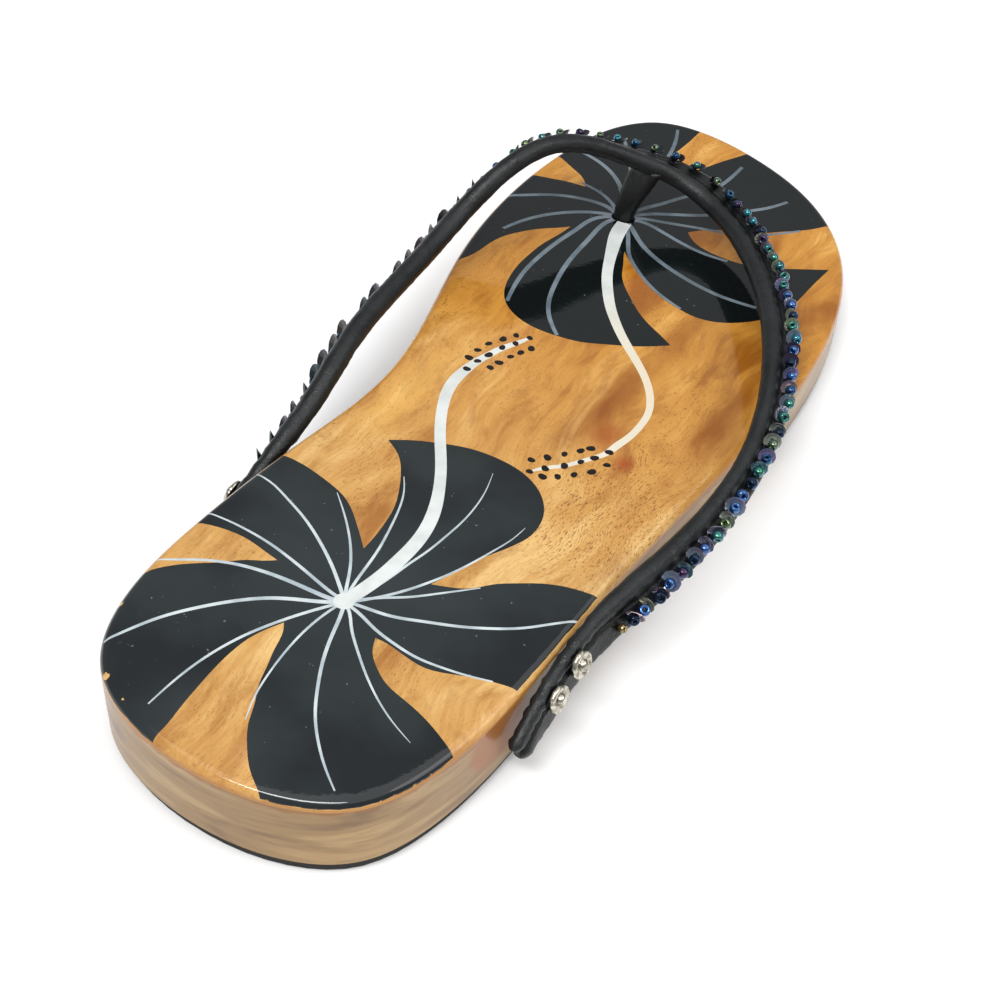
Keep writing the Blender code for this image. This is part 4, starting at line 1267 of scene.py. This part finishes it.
def build_row(sequin_material, bead_material, rng):
    """Cup sequins lapped like shingles with their toeward rims up, each held by a seed bead."""
    sequins, beads = Batch(SEQUIN_PROFILE, 11), Batch(BEAD_PROFILE, 16)
    for s, branch in row_stations(rng):
        near_post = max(0.0, 1 - abs(s - POST_RUN) / POST_REACH)
        tucked = 1 - ease(1.6 * near_post) if branch is MEDIAL else 0.0
        middle, along, out, face, _, _ = STRAP.frame(s)
        lean = math.radians(blend(rng.uniform(*branch.lean), POST_LEAN, near_post))
        radius = branch.radius * rng.uniform(*SEQUIN_SIZES)
        radius *= blend(1.0, 0.78, ease(1.6 * near_post))
        axis = math.cos(lean) * face - branch.toeward * math.sin(lean) * along
        axis = tilted(axis, along, rng.uniform(*SEQUIN_ROLL))
        axis = tilted(axis, face, rng.uniform(*SEQUIN_TURN) * (1 - 0.6 * tucked))
        u = branch.across - SLIM_ROW * STRAP.slimness(s) - TUCK_ACROSS * tucked
        u += rng.uniform(*SEQUIN_ACROSS)
        v = BAND_TOP + SEQUIN_RISE - TUCK_DOWN * tucked + 0.42 * radius * math.sin(lean)
        seat = middle + u * out + v * face
        side = axis.orthogonal().normalized()
        side = Matrix.Rotation(rng.uniform(0, math.tau), 3, axis) @ side
        tints = SEQUIN_TINTS[rng.integers(len(SEQUIN_TINTS))]
        # painted shade: the medial sequins are darkened nearly to black, the lateral ones towards
        # the post
        painted_shade_factor = SEQUIN_PAINTED_SHADE if branch is MEDIAL else blend(1.0, SEQUIN_PAINTED_SHADE, ease(2 * near_post - 0.7))
        if rng.random() > SEQUIN_LOSS:
            sequins.add(seat, axis, side, radius, tints, painted_shade_factor)
        size = branch.bead * rng.uniform(*BEAD_SIZES) * blend(1.0, 0.85, near_post)
        turned = tilted(axis, out, rng.uniform(*BEAD_ROLL))
        turned = tilted(turned, along, rng.uniform(*BEAD_TURN))
        seat -= branch.toeward * rng.uniform(*BEAD_BACK) * along
        seat += rng.uniform(*BEAD_OUT) * out
        seat += 0.75 * size * axis
        seat += tucked * (1.6 * out - face)
        tints = BEAD_TINTS[rng.integers(len(BEAD_TINTS))]
        beads.add(seat, turned, turned.orthogonal().normalized(), size, tints)
    middle, along, out, face, _, _ = STRAP.frame(STRAP.length - LATERAL_TRIM_START + GOLD_BEHIND)
    seat = middle + GOLD_ACROSS * out + (BAND_TOP + GOLD_RISE) * face
    beads.add(seat, face, along, GOLD_RADIUS, GOLD_TINT)
    return (
        sequins.build("sequin_row", sequin_material, 6),
        beads.build("seed_beads", bead_material, 60),
    )


def build_stud(name, s, u, material):
    """Dished nickel disc with a crimped rim and a small round nail head in the middle."""
    around = 48
    middle, along, out, face, _, roll = STRAP.frame(s)
    seat = middle + u * out + (STUD_SEAT * roll + STUD_LIFT) * face
    vertices = [seat]
    for reach, height in STUD_PROFILE:
        for i in range(around):
            angle = math.tau * i / around
            spoke = math.cos(angle) * along + math.sin(angle) * out
            crimp = 1 + (0.02 * math.cos(STUD_CRIMPS * angle) if 0.7 < reach else 0.0)
            rim = STUD_RADIUS * reach * crimp * spoke
            vertices.append(seat + rim + STUD_HEIGHT * height * face)
    vertices.append(seat + STUD_HEIGHT * face)
    faces = ring_faces(len(STUD_PROFILE), around, 1)
    crown = len(vertices) - 1
    for i in range(around):
        j = (i + 1) % around
        faces += [(0, 1 + j, 1 + i), (crown, crown - around + i, crown - around + j)]
    return new_piece(name + "_head", vertices, faces, [material], sharp=50)


# --- assembly
def dress():
    rng = np.random.default_rng(7)
    side = make_side()
    slab = build_sole({
        "wood": make_wood(),
        "paint": make_paint(),
        "heel vein": make_line("pale_vein", (196, 204, 206), (156, 168, 174)),
        "toe vein": make_line("grey_vein", (112, 124, 132), (84, 96, 104)),
        "stamen": make_line("white_line", (208, 212, 210), (190, 195, 192), (212, 200, 174)),
        "dot": make_line("dark_dot", (8, 5, 3), (22, 13, 7)),
        "side": side,
        "under": side,
        "hole": make_mortise(),
    })
    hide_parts("sole")
    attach(slab, "root")

    lining = make_matt("brown_lining", 1.4, (34, 22, 16), (70, 48, 34), 0.85, 0.15, 0.7)
    strap = build_strap(make_leather(), lining)
    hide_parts("strap")
    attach(strap, "root")

    sequins, beads = build_row(
        make_iridescent("iridescent_sequin", 0.66, 0.2),
        make_iridescent("iridescent_bead", 0.85, 0.12),
        rng,
    )
    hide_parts("bead_trim")
    for piece in (sequins, beads):
        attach(piece, "root")

    nickel = make_nickel()
    for name, from_medial, from_lateral, u in STUD_PLACES:
        s = from_medial or STRAP.length - from_lateral
        stud = build_stud(name, s, u, nickel)
        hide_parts(name)
        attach(stud, "root")

    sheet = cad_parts["outsole"].data
    sheet.materials.clear()
    rubber = make_matt(
        "black_rubber_sheet", (1.6, 1.6, 2.4), (16, 16, 16), (40, 39, 37), 0.8, 0.25, 0.8
    )
    sheet.materials.append(rubber)


# name; place, metres; width and depth, metres; watts
LIGHTS = (
    ("overhead", (0.25, 0.0, 1.3), (2.3, 2.3), 12.5),
    ("rear", (0.05, -0.62, 1.15), (1.0, 0.22), 11.0),
    ("side", (0.9, 0.2, 0.8), (0.8, 0.8), 3.0),
)
FLOOR_REACH, FLOOR_DROP = 3.0, 0.00005  # metres


def make_stage():
    """Pale floor, pale surroundings and three soft lights."""
    mesh = bpy.data.meshes.new("floor")
    signs = ((-1, -1), (1, -1), (1, 1), (-1, 1))
    corners = [(FLOOR_REACH * x, FLOOR_REACH * y, 0.0) for x, y in signs]
    mesh.from_pydata(corners, [], [range(4)])
    pale = Mix("pale_floor")
    mesh.materials.append(pale.set(Base_Color=(0.9, 0.9, 0.9, 1.0), Roughness=0.7))
    floor = add_object("floor", mesh)
    floor.location.z = -FLOOR_DROP

    world = bpy.data.worlds.new("studio")
    world.use_nodes = True
    surround = world.node_tree.nodes["Background"].inputs
    surround["Color"].default_value = (0.96, 0.98, 1.0, 1.0)
    surround["Strength"].default_value = 0.42
    bpy.context.scene.world = world
    bpy.context.scene.view_settings.view_transform = "Standard"

    for name, at, (width, depth), power in LIGHTS:
        light = bpy.data.lights.new(name, "AREA")
        light.shape = "ELLIPSE"
        light.size, light.size_y, light.energy = width, depth, power
        lamp = add_object(name, light)
        lamp.location = at
        lamp.rotation_mode = "QUATERNION"
        lamp.rotation_quaternion = (-Vector(at)).to_track_quat("-Z", "Y")


VIEW_AZIMUTH, VIEW_ELEVATION, VIEW_ROLL = 38.1, 44.2, -3.0  # degrees
VIEW_TARGET, VIEW_DISTANCE = (-43.0, 87.9, 0.0), 395.0  # where it looks, and from how far
FRAME_MIDDLE = (5.6, 97.0, 8.0)  # the shoe's middle in that view
LENS = 64.0


def make_camera():
    """The viewpoint looks past the medial side; the camera turns on the spot to frame the shoe."""
    azimuth, elevation, roll = map(math.radians, (VIEW_AZIMUTH, VIEW_ELEVATION, VIEW_ROLL))
    level = Vector((math.cos(azimuth), math.sin(azimuth), 0.0))
    forward = Vector((
        -math.sin(azimuth) * math.cos(elevation),
        math.cos(azimuth) * math.cos(elevation),
        -math.sin(elevation),
    ))
    right = math.cos(roll) * level + math.sin(roll) * level.cross(forward)
    eye = Vector(VIEW_TARGET) - VIEW_DISTANCE * forward
    ahead = (Vector(FRAME_MIDDLE) - eye).normalized()
    right = (right - right.dot(ahead) * ahead).normalized()
    turn = Matrix((right, right.cross(ahead), -ahead)).transposed()
    data = bpy.data.cameras.new("camera")
    data.lens = LENS
    data.clip_start, data.clip_end = 0.01, 20.0
    camera = add_object("camera", data)
    camera.matrix_world = Matrix.Translation(Vector(place(eye))) @ turn.to_4x4()
    bpy.context.scene.camera = camera


make_stage()
make_camera()
dress()
